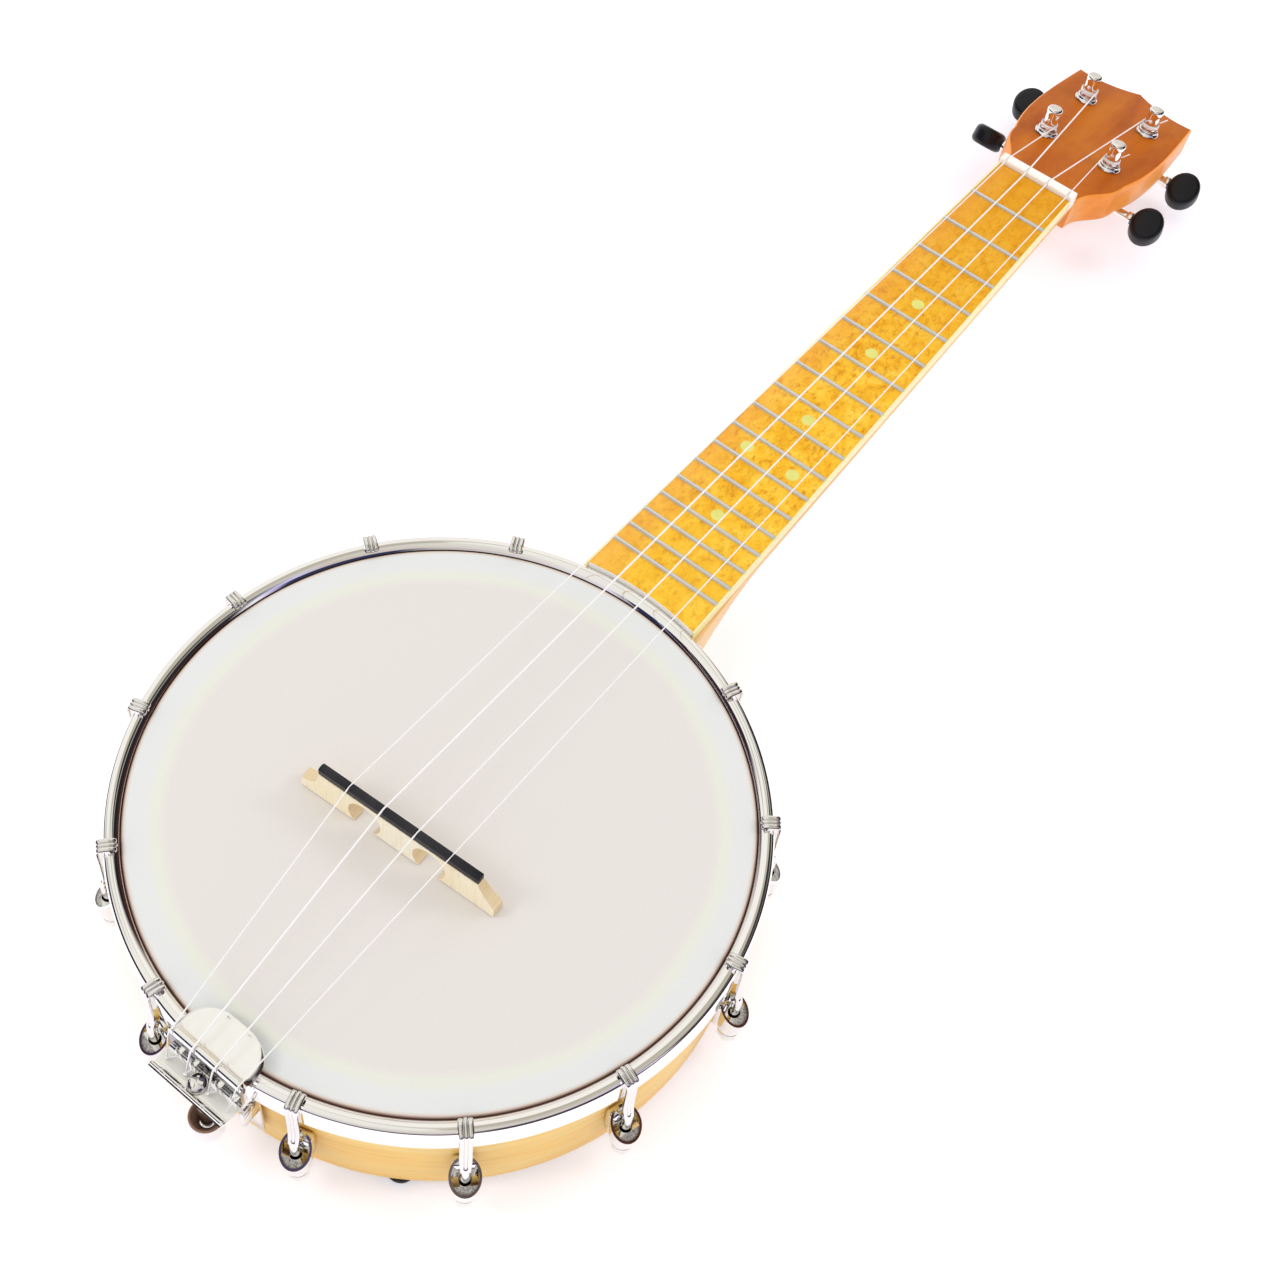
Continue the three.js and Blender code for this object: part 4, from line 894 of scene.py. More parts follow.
def boltShape():
    washer = cylinder(shoe["washer"], 0, shoe["washerThick"], 0.2)
    head = hexagon(shoe["boltHead"], shoe["washerThick"], shoe["boltTop"], 0.3)
    return moveShape(joinShapes(washer, head), placeAt(pot["rimInner"], 0, shoe["boltZ"], -90, "Y"))


def makeBrackets():
    hookMaster = hookShape()
    bulbMaster = bulbShape()
    footMaster = footShape()
    for index, turn in enumerate(hookTurns, 1):
        label = f"{index:02d}"
        place = potPlace @ placeAt(turn=turn)
        makePiece(f"hook_{label}", hookMaster.copy(), place, "cast", smooth=55,
                  stands=[f"bracket_hook_{label}"])
        makePiece(f"hook_nut_{label}", nutShape(), place, "cast")
        makePiece(f"shoe_{label}", bulbMaster.copy(), place, "cast", smooth=30,
                  stands=[f"bracket_shoe_{label}"], extras=["castFace"], modifiers=[shoeEdges])
        makePiece(f"shoe_foot_{label}", footMaster.copy(), place, "cast", smooth=50)
        makePiece(f"shoe_bolt_{label}", boltShape(), place, "steel")
    for master in (hookMaster, bulbMaster, footMaster):
        master.free()


makeBrackets()
print("brackets ready")


# Tailpiece: one bent plate with four tabs, its bolt and the bracket that takes the bolt
tail = {
    "half": 14.0, "turn": 2.0, "sheet": 1.1, "rows": 110, "columns": 40, "front": -88.9, "corner": 10.0,
    "cornerPower": 2.5, "narrowest": 0.6, "rimFrom": 0.9, "rimFront": -103, "rimDepth": 0.9,
    "ridgeTop": 5.0, "wallX": -104.2, "tray": -6.6,
    "topSide": [(-89.2, 2.3), (-88.9, 2.75), (-89.2, 3.2), (-90.0, 3.3), (-93.0, 3.3), (-96.5, 3.3),
                (-99.3, 3.3), (-100.4, 3.55), (-101.3, 4.1), (-102.0, 4.7), (-102.7, 4.95), (-103.35, 4.7),
                (-103.85, 4.05), (-104.12, 3.1), (-104.2, 1.0), (-104.2, -2.0), (-104.2, -4.8),
                (-104.5, -5.9), (-105.5, -6.5), (-107.0, -6.6), (-109.5, -6.6), (-110.9, -6.45),
                (-111.6, -5.9), (-111.9, -5.1), (-112.05, -4.55), (-112.35, -4.4), (-112.55, -4.7),
                (-112.58, -5.3)],
    # Where the plate's top is satin, and where its wall behind the ridge gets a dark chrome as painted shade
    "satinFront": -100.5, "satinTray": (-109.5, -105.5), "wallShadeFrom": -105, "wallShadeTop": 3.0,
    "tabs": (8.1, 2.5, -7.0, -12.9), "tabTop": 0.5, "tabLength": 2.0, "tabRoot": 0.4, "tabHalf": 0.9,
    "tabTaper": 0.8, "tabTip": 0.3, "tabTurn": -14, "tabRound": 0.25,
    "knotX": -108.2, "knots": (11.7, 4.35, -4.4, -11.7),
}
tailBolt = {
    "x": -107.9, "radius": 2.0, "gap": 0.3, "head": 3.1, "headDepth": 2.2, "shoulder": 1.3, "crown": 0.6,
    "crownDepth": 0.2, "slotLength": 1.9, "slotHalf": 0.38, "slotDepth": 1.2, "slotTurn": 25, "pastLug": 1.6,
}
bracket = {
    "half": 13.5, "top": -11.4, "under": -43.0, "sheet": 1.3, "edge": 0.4,
    "ear": 7.4, "earSheet": 1.4, "earTop": -15.4, "earUnder": -25.4, "earEdge": 0.5,
    "lug": 5.7, "lugTop": -33.0, "lugWall": 1.0, "lugDish": 4.2, "lugTaper": 0.9, "boreGap": 0.4,
    "webHalf": 2.8, "webStart": 3.2, "webDrop": 2.4,
}
tailPlace = potPlace @ placeAt(tailBolt["x"] * mm, turn=-tail["turn"]) @ placeAt(-tailBolt["x"] * mm)
boltAxis = placeAt(tailBolt["x"])


def plateHalfWidth(x):
    depth = (tail["front"] - x) / tail["corner"]
    if depth >= 1:
        return tail["half"]
    power = tail["cornerPower"]
    return tail["half"] * (1 - (1 - max(depth, 0.0)) ** power) ** (1 / power)


def plateForm(along, share, spot):
    depth = 0.0
    if spot.x > tail["rimFront"]:
        depth = tail["rimDepth"] * max(0.0, (abs(share) - tail["rimFrom"]) / (1 - tail["rimFrom"])) ** 2
    return share * max(tail["narrowest"], plateHalfWidth(spot.x)), depth


def plateLook(normal, middle):
    trayEnd, trayStart = tail["satinTray"]
    if normal.z > 0.98:
        return 1 if middle.x > tail["satinFront"] or trayEnd < middle.x < trayStart else 0
    # Faces of the wall behind the ridge take the dark chrome: painted shade
    if normal.x < -0.9 and middle.x > tail["wallShadeFrom"] and middle.z < tail["wallShadeTop"]:
        return 2
    return 0


def makeTailPlate():
    route = smoothRoute(tail["topSide"][::-1], tail["rows"])
    plate = bentStrip(route, tail["columns"], tail["sheet"], plateForm)
    hole = cylinder(tailBolt["radius"] + tailBolt["gap"], tail["tray"] - 3, tail["tray"] + 4)
    plate = combine(plate, [moveShape(hole, boltAxis)])
    paintFaces(plate, plateLook)
    makePiece("tail_plate", plate, tailPlace, "plate", smooth=40, stands=["tailpiece_plate"],
              extras=["plateTop", "paintedWallShade"], modifiers=[softEdges])


def makeTailTabs():
    root, half, reach = tail["tabRoot"], tail["tabHalf"], tail["tabLength"]
    taper, tip = tail["tabTaper"], tail["tabTip"]
    for index, y in enumerate(tail["tabs"], 1):
        tab = extrudeOutline([(root, -half), (-reach + 0.5, -taper), (-reach, -tip), (-reach, tip),
                              (-reach + 0.5, taper), (root, half)], -half, 0.0, tail["tabRound"])
        moveShape(tab, placeAt(tail["wallX"], y, tail["tabTop"], tail["tabTurn"], "Y"))
        makePiece(f"tail_tab_{index}", tab, tailPlace, "plate")


def makeTailBolt():
    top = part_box("tailpiece_bolt")[1].z / mm - potCentre.z / mm
    radius = tailBolt["head"]
    under = top - tailBolt["headDepth"]
    head = spinOutline([(0, under), (radius, under), (radius, top - tailBolt["shoulder"]),
                        (radius * tailBolt["crown"], top - tailBolt["crownDepth"]), (0, top)],
                       {2: 0.5, 3: 0.8}, 48)
    long, half, floor = tailBolt["slotLength"], tailBolt["slotHalf"], top - tailBolt["slotDepth"]
    slots = [moveShape(roundedBox((-x, -y, floor), (x, y, top + 1)), placeAt(turn=tailBolt["slotTurn"]))
             for x, y in ((long, half), (half, long))]
    shank = cylinder(tailBolt["radius"], bracket["under"] - tailBolt["pastLug"], top - 2.0, 0.3)
    screw = moveShape(joinShapes(combine(head, slots), shank), boltAxis)
    makePiece("tail_screw", screw, potPlace, "plate", stands=["tailpiece_bolt"])


def lugShape():
    bore = tailBolt["radius"] + bracket["boreGap"]
    dish = bracket["lugTop"] - bracket["lugDish"]
    lug = spinOutline([(bore, dish), (bracket["lug"] - bracket["lugWall"], bracket["lugTop"]),
                       (bracket["lug"] - 0.3, bracket["lugTop"]), (bracket["lug"], bracket["lugTop"] - 3.2),
                       (bracket["lug"] * bracket["lugTaper"], bracket["under"]), (bore, bracket["under"])],
                      {1: 0.3, 2: 0.5, 3: 1.6, 4: 1.2}, 64)
    # The lug's upward faces take the brown look: painted reflection
    paintFaces(lug, lambda normal, middle: 1 if normal.z > 0.3 and middle.z > dish else 0)
    return moveShape(lug, boltAxis)


def makeTailBracket():
    wall = -pot["rimOuter"] - seat
    half = bracket["half"]
    base = roundedBox((wall - bracket["sheet"], -half, bracket["under"]), (wall, half, bracket["top"]),
                      bracket["edge"])
    ears = []
    for low, high in ((-half, bracket["earSheet"] - half), (half - bracket["earSheet"], half)):
        ears.append(roundedBox((wall - bracket["ear"], low, bracket["earUnder"]),
                               (wall - bracket["edge"], high, bracket["earTop"]), bracket["earEdge"]))
    webTop = bracket["lugTop"] - bracket["webDrop"]
    web = roundedBox((tailBolt["x"] + bracket["webStart"], -bracket["webHalf"], bracket["under"] + seat),
                     (wall - seat, bracket["webHalf"], webTop), bracket["edge"])
    makePiece("tail_bracket", joinShapes(base, *ears, lugShape(), web), potPlace, "cast",
              stands=["tailpiece_bracket"], extras=["lugPaintedReflection"])


makeTailPlate()
makeTailTabs()
makeTailBolt()
makeTailBracket()
print("tailpiece ready")


# Neck and headstock
neck = {
    "nut": 359.6, "board": 4.5, "halfAtNut": 16.4, "halfAtPot": 21.9, "potEdge": 102.15, "steps": 8,
    "depthAtNut": 11.4, "depthAtHeel": 15.5, "heelDepth": 50.5, "heelHalf": 23.6, "heelLength": 48.0,
    "heelSteps": 20, "sinkIntoPot": 3, "round": 2.3, "loop": 64,
    # The shaft runs on inside the headstock, a little thinner than it
    "headSteps": 4, "headStride": 4.0, "headSink": 0.8, "headSpare": 1.6,
}
nut = {
    "thick": 4.6, "rise": 2.1, "overhang": 0.3, "round": 0.5, "spacing": 9.4,
    "slotRadius": 0.55, "slotDrop": 0.35, "slotReach": 3,
}
head = {
    "thick": 12.9, "length": 95.2, "peak": 5.5, "half": 29.6, "widest": 59.4, "shoulder": 29.0,
    "shoulderHalf": 26.0, "endHalf": 27.6, "scoop": 2.4, "drop": 4.3, "edge": 1.1, "postHole": 4.5,
}
headBegin = neck["nut"] + nut["thick"] + 2 * seat
stringRanks = (1.5, 0.5, -0.5, -1.5)  # each string's place across, in spacings from the centre line


def boardHalf(u):
    share = (u - neck["potEdge"]) / (neck["nut"] - neck["potEdge"])
    return blend(neck["halfAtPot"], neck["halfAtNut"], share)


# Turns millimetres of one frame into millimetres of the neck's frame
def neckFrom(place):
    return Matrix.Scale(1 / mm, 4) @ neckPlace.inverted() @ place @ Matrix.Scale(mm, 4)


# One D-shaped loop across the neck
def neckLoop(shape, u, half, depth, top):
    made = bmesh.ops.create_circle(shape, cap_ends=False, segments=neck["loop"], radius=1)
    power = 2 / neck["round"]
    for vert in made["verts"]:
        turn = math.atan2(vert.co.y, vert.co.x)
        across = math.copysign(abs(math.cos(turn)) ** power, math.cos(turn))
        down = abs(math.sin(turn)) ** power if turn < 0 else 0.0
        vert.co = Vector((u, half * across, top - depth * down))


# The heel sweeps up from the pot's depth and width to the shaft's
def heelStations(start, top):
    for step in range(neck["heelSteps"] + 1):
        share = step / neck["heelSteps"]
        u = start + share * neck["heelLength"]
        depthShare = (1 - smoothStep(share)) ** 0.8
        widthShare = (1 - smoothStep(share * 1.35)) ** 1.1
        yield (u, blend(boardHalf(u), neck["heelHalf"], widthShare),
               blend(neck["depthAtHeel"], neck["heelDepth"], depthShare), top)


def shaftStations(start, top):
    for step in range(1, neck["steps"] + 1):
        share = step / neck["steps"]
        u = blend(start, neck["nut"], share)
        yield u, boardHalf(u), blend(neck["depthAtHeel"], neck["depthAtNut"], share), top
    yield headBegin, neck["halfAtNut"], neck["depthAtNut"], top


def headStations(top):
    slope = math.tan(headTilt - neckTilt)
    thin = head["thick"] - neck["headSpare"]
    for step in range(1, neck["headSteps"] + 1):
        reach = neck["headStride"] * step
        sunk = -head["drop"] - reach * slope - neck["headSink"]
        depth = blend(neck["depthAtNut"], thin, smoothStep(step / neck["headSteps"]))
        yield headBegin + reach, neck["halfAtNut"], depth, blend(top, sunk, min(1.0, step / 2))


def neckShape():
    shape = bmesh.new()
    top = -neck["board"] - seat
    start = pot["rimOuter"] - neck["sinkIntoPot"]
    for station in (*heelStations(start, top), *shaftStations(start + neck["heelLength"], top),
                    *headStations(top)):
        neckLoop(shape, *station)
    bmesh.ops.bridge_loops(shape, edges=shape.edges[:])
    bmesh.ops.holes_fill(shape, edges=shape.edges[:], sides=0)
    bmesh.ops.remove_doubles(shape, verts=shape.verts, dist=1e-3)
    bmesh.ops.recalc_face_normals(shape, faces=shape.faces)
    return shape


# Half of the headstock's outline is four smooth curves; the other half mirrors it
def headOutline():
    start = (0, neck["halfAtNut"])
    shoulder = (head["shoulder"], head["shoulderHalf"])
    widest = (head["widest"], head["half"])
    corner = (head["length"], head["endHalf"])
    tip = (head["length"] + head["peak"], 0)
    dip = (head["length"] - head["scoop"], head["endHalf"] / 2)
    toDip = [tuple((end[axis] + 2 * dip[axis]) / 3 for axis in (0, 1)) for end in (corner, tip)]
    upper = bezier(start, (shoulder[0] / 2, start[1]), (shoulder[0] / 2, shoulder[1]), shoulder, 16)
    upper += bezier(shoulder, (shoulder[0] + 9, widest[1] - 1), (widest[0] - 12, widest[1]), widest, 12)
    upper += bezier(widest, (widest[0] + 12, widest[1]), (corner[0] - 12, corner[1] + 0.8), corner, 10)
    upper += bezier(corner, *toDip, tip, 12)
    lower = [(s, -y) for s, y in reversed(upper)]
    return upper + [tip] + lower


def headShape():
    slab = extrudeOutline(headOutline(), -head["thick"], 0, head["edge"], 4)
    holes = [moveShape(cylinder(head["postHole"], -20, 20), placeAt(station, side * postSpread))
             for side in (1, -1) for station in postStations]
    return moveShape(combine(slab, holes), neckFrom(headPlace))


def makeNeck():
    shaft = neckShape()
    # The hoop's and the rim's room, and the rod's bore in the heel
    rooms = [cylinder(pot["hoopHole"], -11.2, 40, 0, 192), cylinder(pot["rimOuter"] + seat, -90, 40, 0, 192)]
    shaft = combine(shaft, [moveShape(room, neckFrom(potPlace)) for room in rooms])
    whole = combine(shaft, [headShape()], "UNION")
    bore = cylinder(pot["rodRadius"] + pot["rodGap"], 0, pot["rimOuter"] + pot["rodHeel"] + seat)
    moveShape(bore, rodPlace)
    whole = combine(whole, [moveShape(bore, neckFrom(potPlace))])
    faceUp = Vector((math.sin(headTilt - neckTilt), 0, math.cos(headTilt - neckTilt)))

    def faceLook(normal, middle):
        return 1 if normal.dot(faceUp) > 0.9 and middle.x > headBegin - 0.5 else 0

    paintFaces(whole, faceLook)
    makePiece("neck_body", whole, neckPlace, "neck", smooth=40, stands=["neck"], extras=["face"])


makeNeck()
print("neck ready")


# Fingerboard with its binding, frets and dots, and the nut at its end
board = {
    "scale": 381.0, "frets": 18, "start": 101.75, "binding": 0.7, "bindingGap": 0.02,
    "columns": 40, "rows": 12,
    "fretHeight": 1.0, "fretWidth": 1.6, "fretTang": 0.8, "fretRound": 0.35,
    "dotRadius": 2.4, "dotRise": 0.06, "dotDepth": 0.5,
    "dots": ((5, (0,)), (7, (0,)), (10, (0,)), (12, (-9.6, 9.6)), (15, (0,))),
}


def fretPlace(number):
    return neck["nut"] - board["scale"] * (1 - 2 ** (-number / 12))


# A board between two side lines, whose pot end follows the hoop
def boardShape(lowSide, highSide):
    shape = bmesh.new()
    bmesh.ops.create_grid(shape, x_segments=board["columns"], y_segments=board["rows"], size=1)
    for vert in shape.verts:
        along = (vert.co.x + 1) / 2
        across = (vert.co.y + 1) / 2
        u = blend(neck["potEdge"], neck["nut"], along)
        y = blend(lowSide(u), highSide(u), across)
        u = blend(math.sqrt(board["start"] ** 2 - y * y), neck["nut"], along)
        vert.co = Vector((u, blend(lowSide(u), highSide(u), across), -neck["board"]))
    return raiseFaces(shape, neck["board"])


def makeBoard():
    strip = board["binding"]
    wood = boardShape(lambda u: -boardHalf(u) + strip, lambda u: boardHalf(u) - strip)
    paintFaces(wood, lambda normal, middle: 1 if normal.x < -0.5 else 0)
    makePiece("board", wood, neckPlace, "board", stands=["fingerboard"], extras=["nut"],
              modifiers=[softEdges])
    # The edge strips take the binding look, which also paints the highlight along the board's edges
    inner = strip - board["bindingGap"]
    plus = boardShape(lambda u: boardHalf(u) - inner, boardHalf)
    minus = boardShape(lambda u: -boardHalf(u), lambda u: -boardHalf(u) + inner)
    for name, edge in (("binding_plus_y", plus), ("binding_minus_y", minus)):
        makePiece(name, edge, neckPlace, "binding", modifiers=[softEdges])


def makeFrets():
    wireHalf = board["fretWidth"] / 2
    crown = [(wireHalf * math.cos(turn * degree), board["fretHeight"] * math.sin(turn * degree))
             for turn in range(0, 181, 15)]
    section = crown + [(-wireHalf, -board["fretTang"]), (wireHalf, -board["fretTang"])]
    for number in range(1, board["frets"] + 1):
        u = fretPlace(number)
        half = boardHalf(u) - board["binding"]
        fret = extrudeOutline(section, -half, half, board["fretRound"], 3)
        moveShape(fret, placeAt(u, turn=90, axis="X"))
        makePiece(f"fret_{number:02d}", fret, neckPlace, "fret", smooth=50)


def makeDots():
    for number, places in board["dots"]:
        u = (fretPlace(number) + fretPlace(number - 1)) / 2
        for index, y in enumerate(places, 1):
            dot = cylinder(board["dotRadius"], -board["dotDepth"], board["dotRise"], 0, 48)
            moveShape(dot, placeAt(u, y))
            makePiece(f"dot_{number:02d}_{index}", dot, neckPlace, "dot")


def makeNut():
    front = neck["nut"] + seat
    back = front + nut["thick"]
    half = neck["halfAtNut"] + nut["overhang"]
    rise = nut["rise"]
    under = -neck["board"]
    profile = [(front, under), (back, under), (back, rise * 0.6), (back - 0.8, rise * 0.95),
               (back - 1.6, rise), (front + 0.5, rise), (front, rise - 0.5)]
    body = extrudeOutline(profile, -half, half, nut["round"], 3)
    moveShape(body, placeAt(turn=90, axis="X"))
    slots = []
    for rank in stringRanks:
        slot = cylinder(nut["slotRadius"], front - nut["slotReach"], back + nut["slotReach"], 0, 24)
        slots.append(moveShape(slot, placeAt(0, rank * nut["spacing"], rise - nut["slotDrop"], 90, "Y")))
    makePiece("nut_bar", combine(body, slots), neckPlace, "nut", smooth=40,
              stands=["string_nut"])


makeBoard()
makeFrets()
makeDots()
makeNut()
print("fingerboard ready")


# Bridge: a wooden body with two arches, and a cap with a slot for each string
bridge = {
    "x": -17.0, "y": 2.8, "turn": 1.9, "height": 15.3, "length": 73.0, "foot": 4.8, "top": 3.1, "end": 4.2,
    "archRadius": 6.1, "archRise": 4.9, "archOffset": 12.2, "waist": 0.45,
    "cap": 60.0, "capHeight": 3.0, "capThick": 2.8, "capCrown": 0.4, "capFall": 0.5, "capRound": 0.25,
    "spacing": 12.65, "slotDepth": 0.7, "slotHalf": 0.5,
}
bridgeSpot = Vector((bridge["x"], bridge["y"], pot["filmTop"] + seat)) * mm
bridgePlace = potPlace @ placeAt(*bridgeSpot, bridge["turn"])


# One end is scooped out under the cap, and the other slopes up to it
def bridgeOutline():
    half = bridge["length"] / 2
    capHalf = bridge["cap"] / 2
    end = bridge["end"]
    top = bridge["height"] - bridge["capHeight"] - seat
    scoop = bezier((half, end), (half - 4.2, end + 0.2), (capHalf, end + 2.5), (capHalf, top), 12)
    slope = bezier((-half, end), (1.4 - half, end + 0.5), (-capHalf - 0.8, top - 2.6), (-capHalf, top), 12)
    return [(half, 0), *scoop, (capHalf, top), (-capHalf, top), *slope[::-1], (-half, 0)]


def makeBridgeBody():
    tall = bridge["height"] - bridge["capHeight"]
    slab = extrudeOutline(bridgeOutline(), -bridge["foot"] / 2, bridge["foot"] / 2)
    arches = []
    for side in (-1, 1):
        arch = cylinder(bridge["archRadius"], -9, 9, 0, 64)
        arches.append(moveShape(arch, placeAt(side * bridge["archOffset"], bridge["archRise"])))
    body = moveShape(combine(slab, arches), placeAt(turn=90) @ placeAt(turn=90, axis="X"))
    # A row of points near the middle, then the body is thinned from its foot to its top
    bmesh.ops.bisect_plane(body, geom=body.verts[:] + body.edges[:] + body.faces[:], dist=1e-4,
                           plane_co=(0, 0, tall * bridge["waist"]), plane_no=(0, 0, 1))
    for vert in body.verts:
        share = max(0.0, min(1.0, vert.co.z / tall))
        vert.co.x *= blend(1, bridge["top"] / bridge["foot"], share)
    paintFaces(body, lambda normal, middle: 1 if abs(normal.x) < 0.5 and middle.z < tall - 0.5 else 0)
    makePiece("bridge_wood", body, bridgePlace, "maple", smooth=40, stands=["bridge_body"],
              extras=["mapleCut"], modifiers=[softEdges])


def makeBridgeCap():
    half = bridge["capThick"] / 2
    over = bridge["height"]
    under = over - bridge["capHeight"]
    edge = over - bridge["capFall"]
    crown = half * bridge["capCrown"]
    section = [(-half, under), (half, under), (half, edge), (crown, over), (-crown, over), (-half, edge)]
    cap = extrudeOutline(section, -bridge["cap"] / 2, bridge["cap"] / 2, bridge["capRound"])
    moveShape(cap, placeAt(turn=90, axis="X"))
    slots = []
    for rank in stringRanks:
        low, high = (rank * bridge["spacing"] + side * bridge["slotHalf"] for side in (-1, 1))
        slots.append(roundedBox((-5, low, over - bridge["slotDepth"]), (5, high, over + 3)))
    makePiece("bridge_top", combine(cap, slots), bridgePlace, "ebony", stands=["bridge_cap"])


makeBridgeBody()
makeBridgeCap()
print("bridge ready")


# Tuners: housing with its bushing, post, worm shaft and thumb button
tuner = {
    # The housing's box and the two lids under it, from the headstock's back
    "boxLow": (-5.2, -5.4, -9.7), "boxHigh": (9.7, 5.4, -0.3), "boxRound": 1.4,
    "lidUnder": -9.95, "lidTop": -9.5, "lidRadius": 3.4, "smallLidRadius": 1.5, "smallLidAt": 6.6,
    "bore": 3.2, "bushRadius": 5.0, "bush": 2.2, "sleeve": 4.2,
    "waist": 2.9, "stem": 3.0, "wheel": 3.7, "wheelUnder": -8.0, "wheelTop": -4.0, "height": 11.4,
    "flare": 3.15, "tip": 2.6, "holeRadius": 0.8, "holeHeight": 6.6,
    "offset": 6.0, "below": 6.0, "shaft": 1.9, "shaftInner": -4.1, "collar": 2.5, "reach": 38.2,
    "buttonLong": 16.0, "buttonWide": 13.5, "buttonThick": 8.0, "buttonRound": 2.3,
    "turns": (30, -22, -28, -30),
}


def housingShape():
    back = -head["thick"]
    behind = Vector((0, 0, back))
    low, high = behind + Vector(tuner["boxLow"]), behind + Vector(tuner["boxHigh"])
    box = roundedBox(low, high, tuner["boxRound"], 4)
    bore, bush, sleeve = tuner["bore"], tuner["bush"], tuner["sleeve"]
    bushing = spinOutline([(bore, 0.15), (tuner["bushRadius"], 0.15), (tuner["bushRadius"] * 0.96, 0.9),
                           (sleeve, 1.3), (sleeve * 0.95, bush), (bore, bush)],
                          {1: 0.2, 2: 0.5, 3: 0.3, 4: 0.4}, 48)
    tube = spinOutline([(bore, back - 0.5), (sleeve, back - 0.5), (sleeve, 0.3), (bore, 0.3)], None, 32)
    lidUnder, lidTop = back + tuner["lidUnder"], back + tuner["lidTop"]
    lid = cylinder(tuner["lidRadius"], lidUnder, lidTop, 0.2)
    smallLid = moveShape(cylinder(tuner["smallLidRadius"], lidUnder, lidTop, 0.15, 24),
                         placeAt(tuner["smallLidAt"]))
    return joinShapes(box, bushing, tube, lid, smallLid)


def postShape():
    back, bush, tall = -head["thick"], tuner["bush"], tuner["height"]
    under, over = back + tuner["wheelUnder"], back + tuner["wheelTop"]
    post = spinOutline([
        (0, under), (tuner["wheel"], under), (tuner["wheel"], over), (tuner["stem"], over),
        (tuner["stem"], bush + 0.3), (tuner["waist"], bush + 0.6), (tuner["waist"], tall - 3.0),
        (tuner["flare"], tall - 1.6), (tuner["flare"], tall - 0.5), (tuner["tip"], tall), (0, tall)],
        {5: 0.3, 6: 0.8, 7: 0.5, 8: 0.4, 9: 0.4}, 48)
    hole = moveShape(cylinder(tuner["holeRadius"], -6, 6, 0, 16), placeAt(0, 0, tuner["holeHeight"], 90, "Y"))
    return combine(post, [hole])


def shaftShape(side):
    outer = tuner["reach"] - postSpread - tuner["buttonWide"] / 2 + 1.0
    rod = cylinder(tuner["shaft"], tuner["shaftInner"], outer, 0.2)
    collar = cylinder(tuner["collar"], outer - 3.4, outer - 0.9, 0.4)
    return moveShape(joinShapes(rod, collar), placeAt(turn=-90 * side, axis="X"))


def buttonShape(side, turn):
    long, wide, thick = tuner["buttonLong"] / 2, tuner["buttonWide"] / 2, tuner["buttonThick"] / 2
    outline = [(long * math.cos(place * degree), wide * math.sin(place * degree))
               for place in range(0, 360, 6)]
    button = extrudeOutline(outline, -thick, thick, tuner["buttonRound"], 6)
    return moveShape(button, placeAt(0, side * (tuner["reach"] - postSpread), 0, turn, "Y"))


def makeTuners():
    seats = [(side, station) for side in (1, -1) for station in postStations]
    for number, (side, station) in enumerate(seats, 1):
        label = f"tuner_{number}"
        place = headPlace @ placeAt(station * mm, side * postSpread * mm)
        key = place @ placeAt(tuner["offset"] * mm, 0, -(head["thick"] + tuner["below"]) * mm)
        makePiece(f"{label}_shell", housingShape(), place, "tuner", smooth=40,
                  stands=[f"{label}_housing"])
        makePiece(f"{label}_peg", postShape(), place, "tuner", body=f"{label}_peg", smooth=40,
                  stands=[f"{label}_post"])
        makePiece(f"{label}_worm", shaftShape(side), key, "tuner", body=f"{label}_key", smooth=40,
                  stands=[f"{label}_shaft"])
        makePiece(f"{label}_knob", buttonShape(side, tuner["turns"][number - 1]), key, "button",
                  body=f"{label}_key", smooth=50, stands=[f"{label}_button"])


makeTuners()
print("tuners ready")


# Strings: from a tail tab over the ridge, the bridge and the nut, then round a post
strings = {
    "diameters": (0.48, 0.66, 0.55, 0.42), "tailSpacing": 8.6, "knotSteps": 12,
    # Its rest over the floor of the bridge's slot, and on the nut: under its top, behind its front and
    # before its back
    "bridgeLift": 0.05, "nutSink": 0.85, "nutFront": 0.2, "nutBack": 2.0,
    "posts": (0, 1, 3, 2), "turns": 2.25, "perTurn": 32, "slack": 0.08, "wrapGap": 0.12, "wrapLow": 0.75,
    "looseTurn": 30, "looseReach": (2.0, 5.0), "looseLow": 1.4, "looseRise": 0.35,
}


# Round a tab, through a knot and over the ridge
def tailRoute(index, radius):
    lift = seat + radius
    tabY = tail["tabs"][index]
    wall, top = tail["wallX"], tail["tabTop"]
    tip = wall - tail["tabLength"]
    route = [(wall - 0.9, tabY + 1.0 + lift, top - 0.4), (tip - 0.1, tabY + 0.9, top + 0.2),
             (tip - lift, tabY, top + 0.2), (tip - lift, tabY - 0.4, top - 0.6)]
    steps = strings["knotSteps"]
    for step in range(steps + 1):
        turn = 2 * math.pi * step / steps
        route.append((tail["knotX"] + 0.1 + 0.75 * radius * math.cos(turn),
                      tail["knots"][index] + 1.5 * radius * math.sin(turn),
                      tail["tray"] + lift + radius + 0.1 * step * radius))
    y = stringRanks[index] * strings["tailSpacing"]
    ridge = tail["ridgeTop"]
    return [*route, (wall - lift - 0.35, y, ridge - 1.3), (wall - lift * 0.6, y, ridge - 0.35 + lift * 0.5),
            (wall + 0.8, y, ridge + lift)]


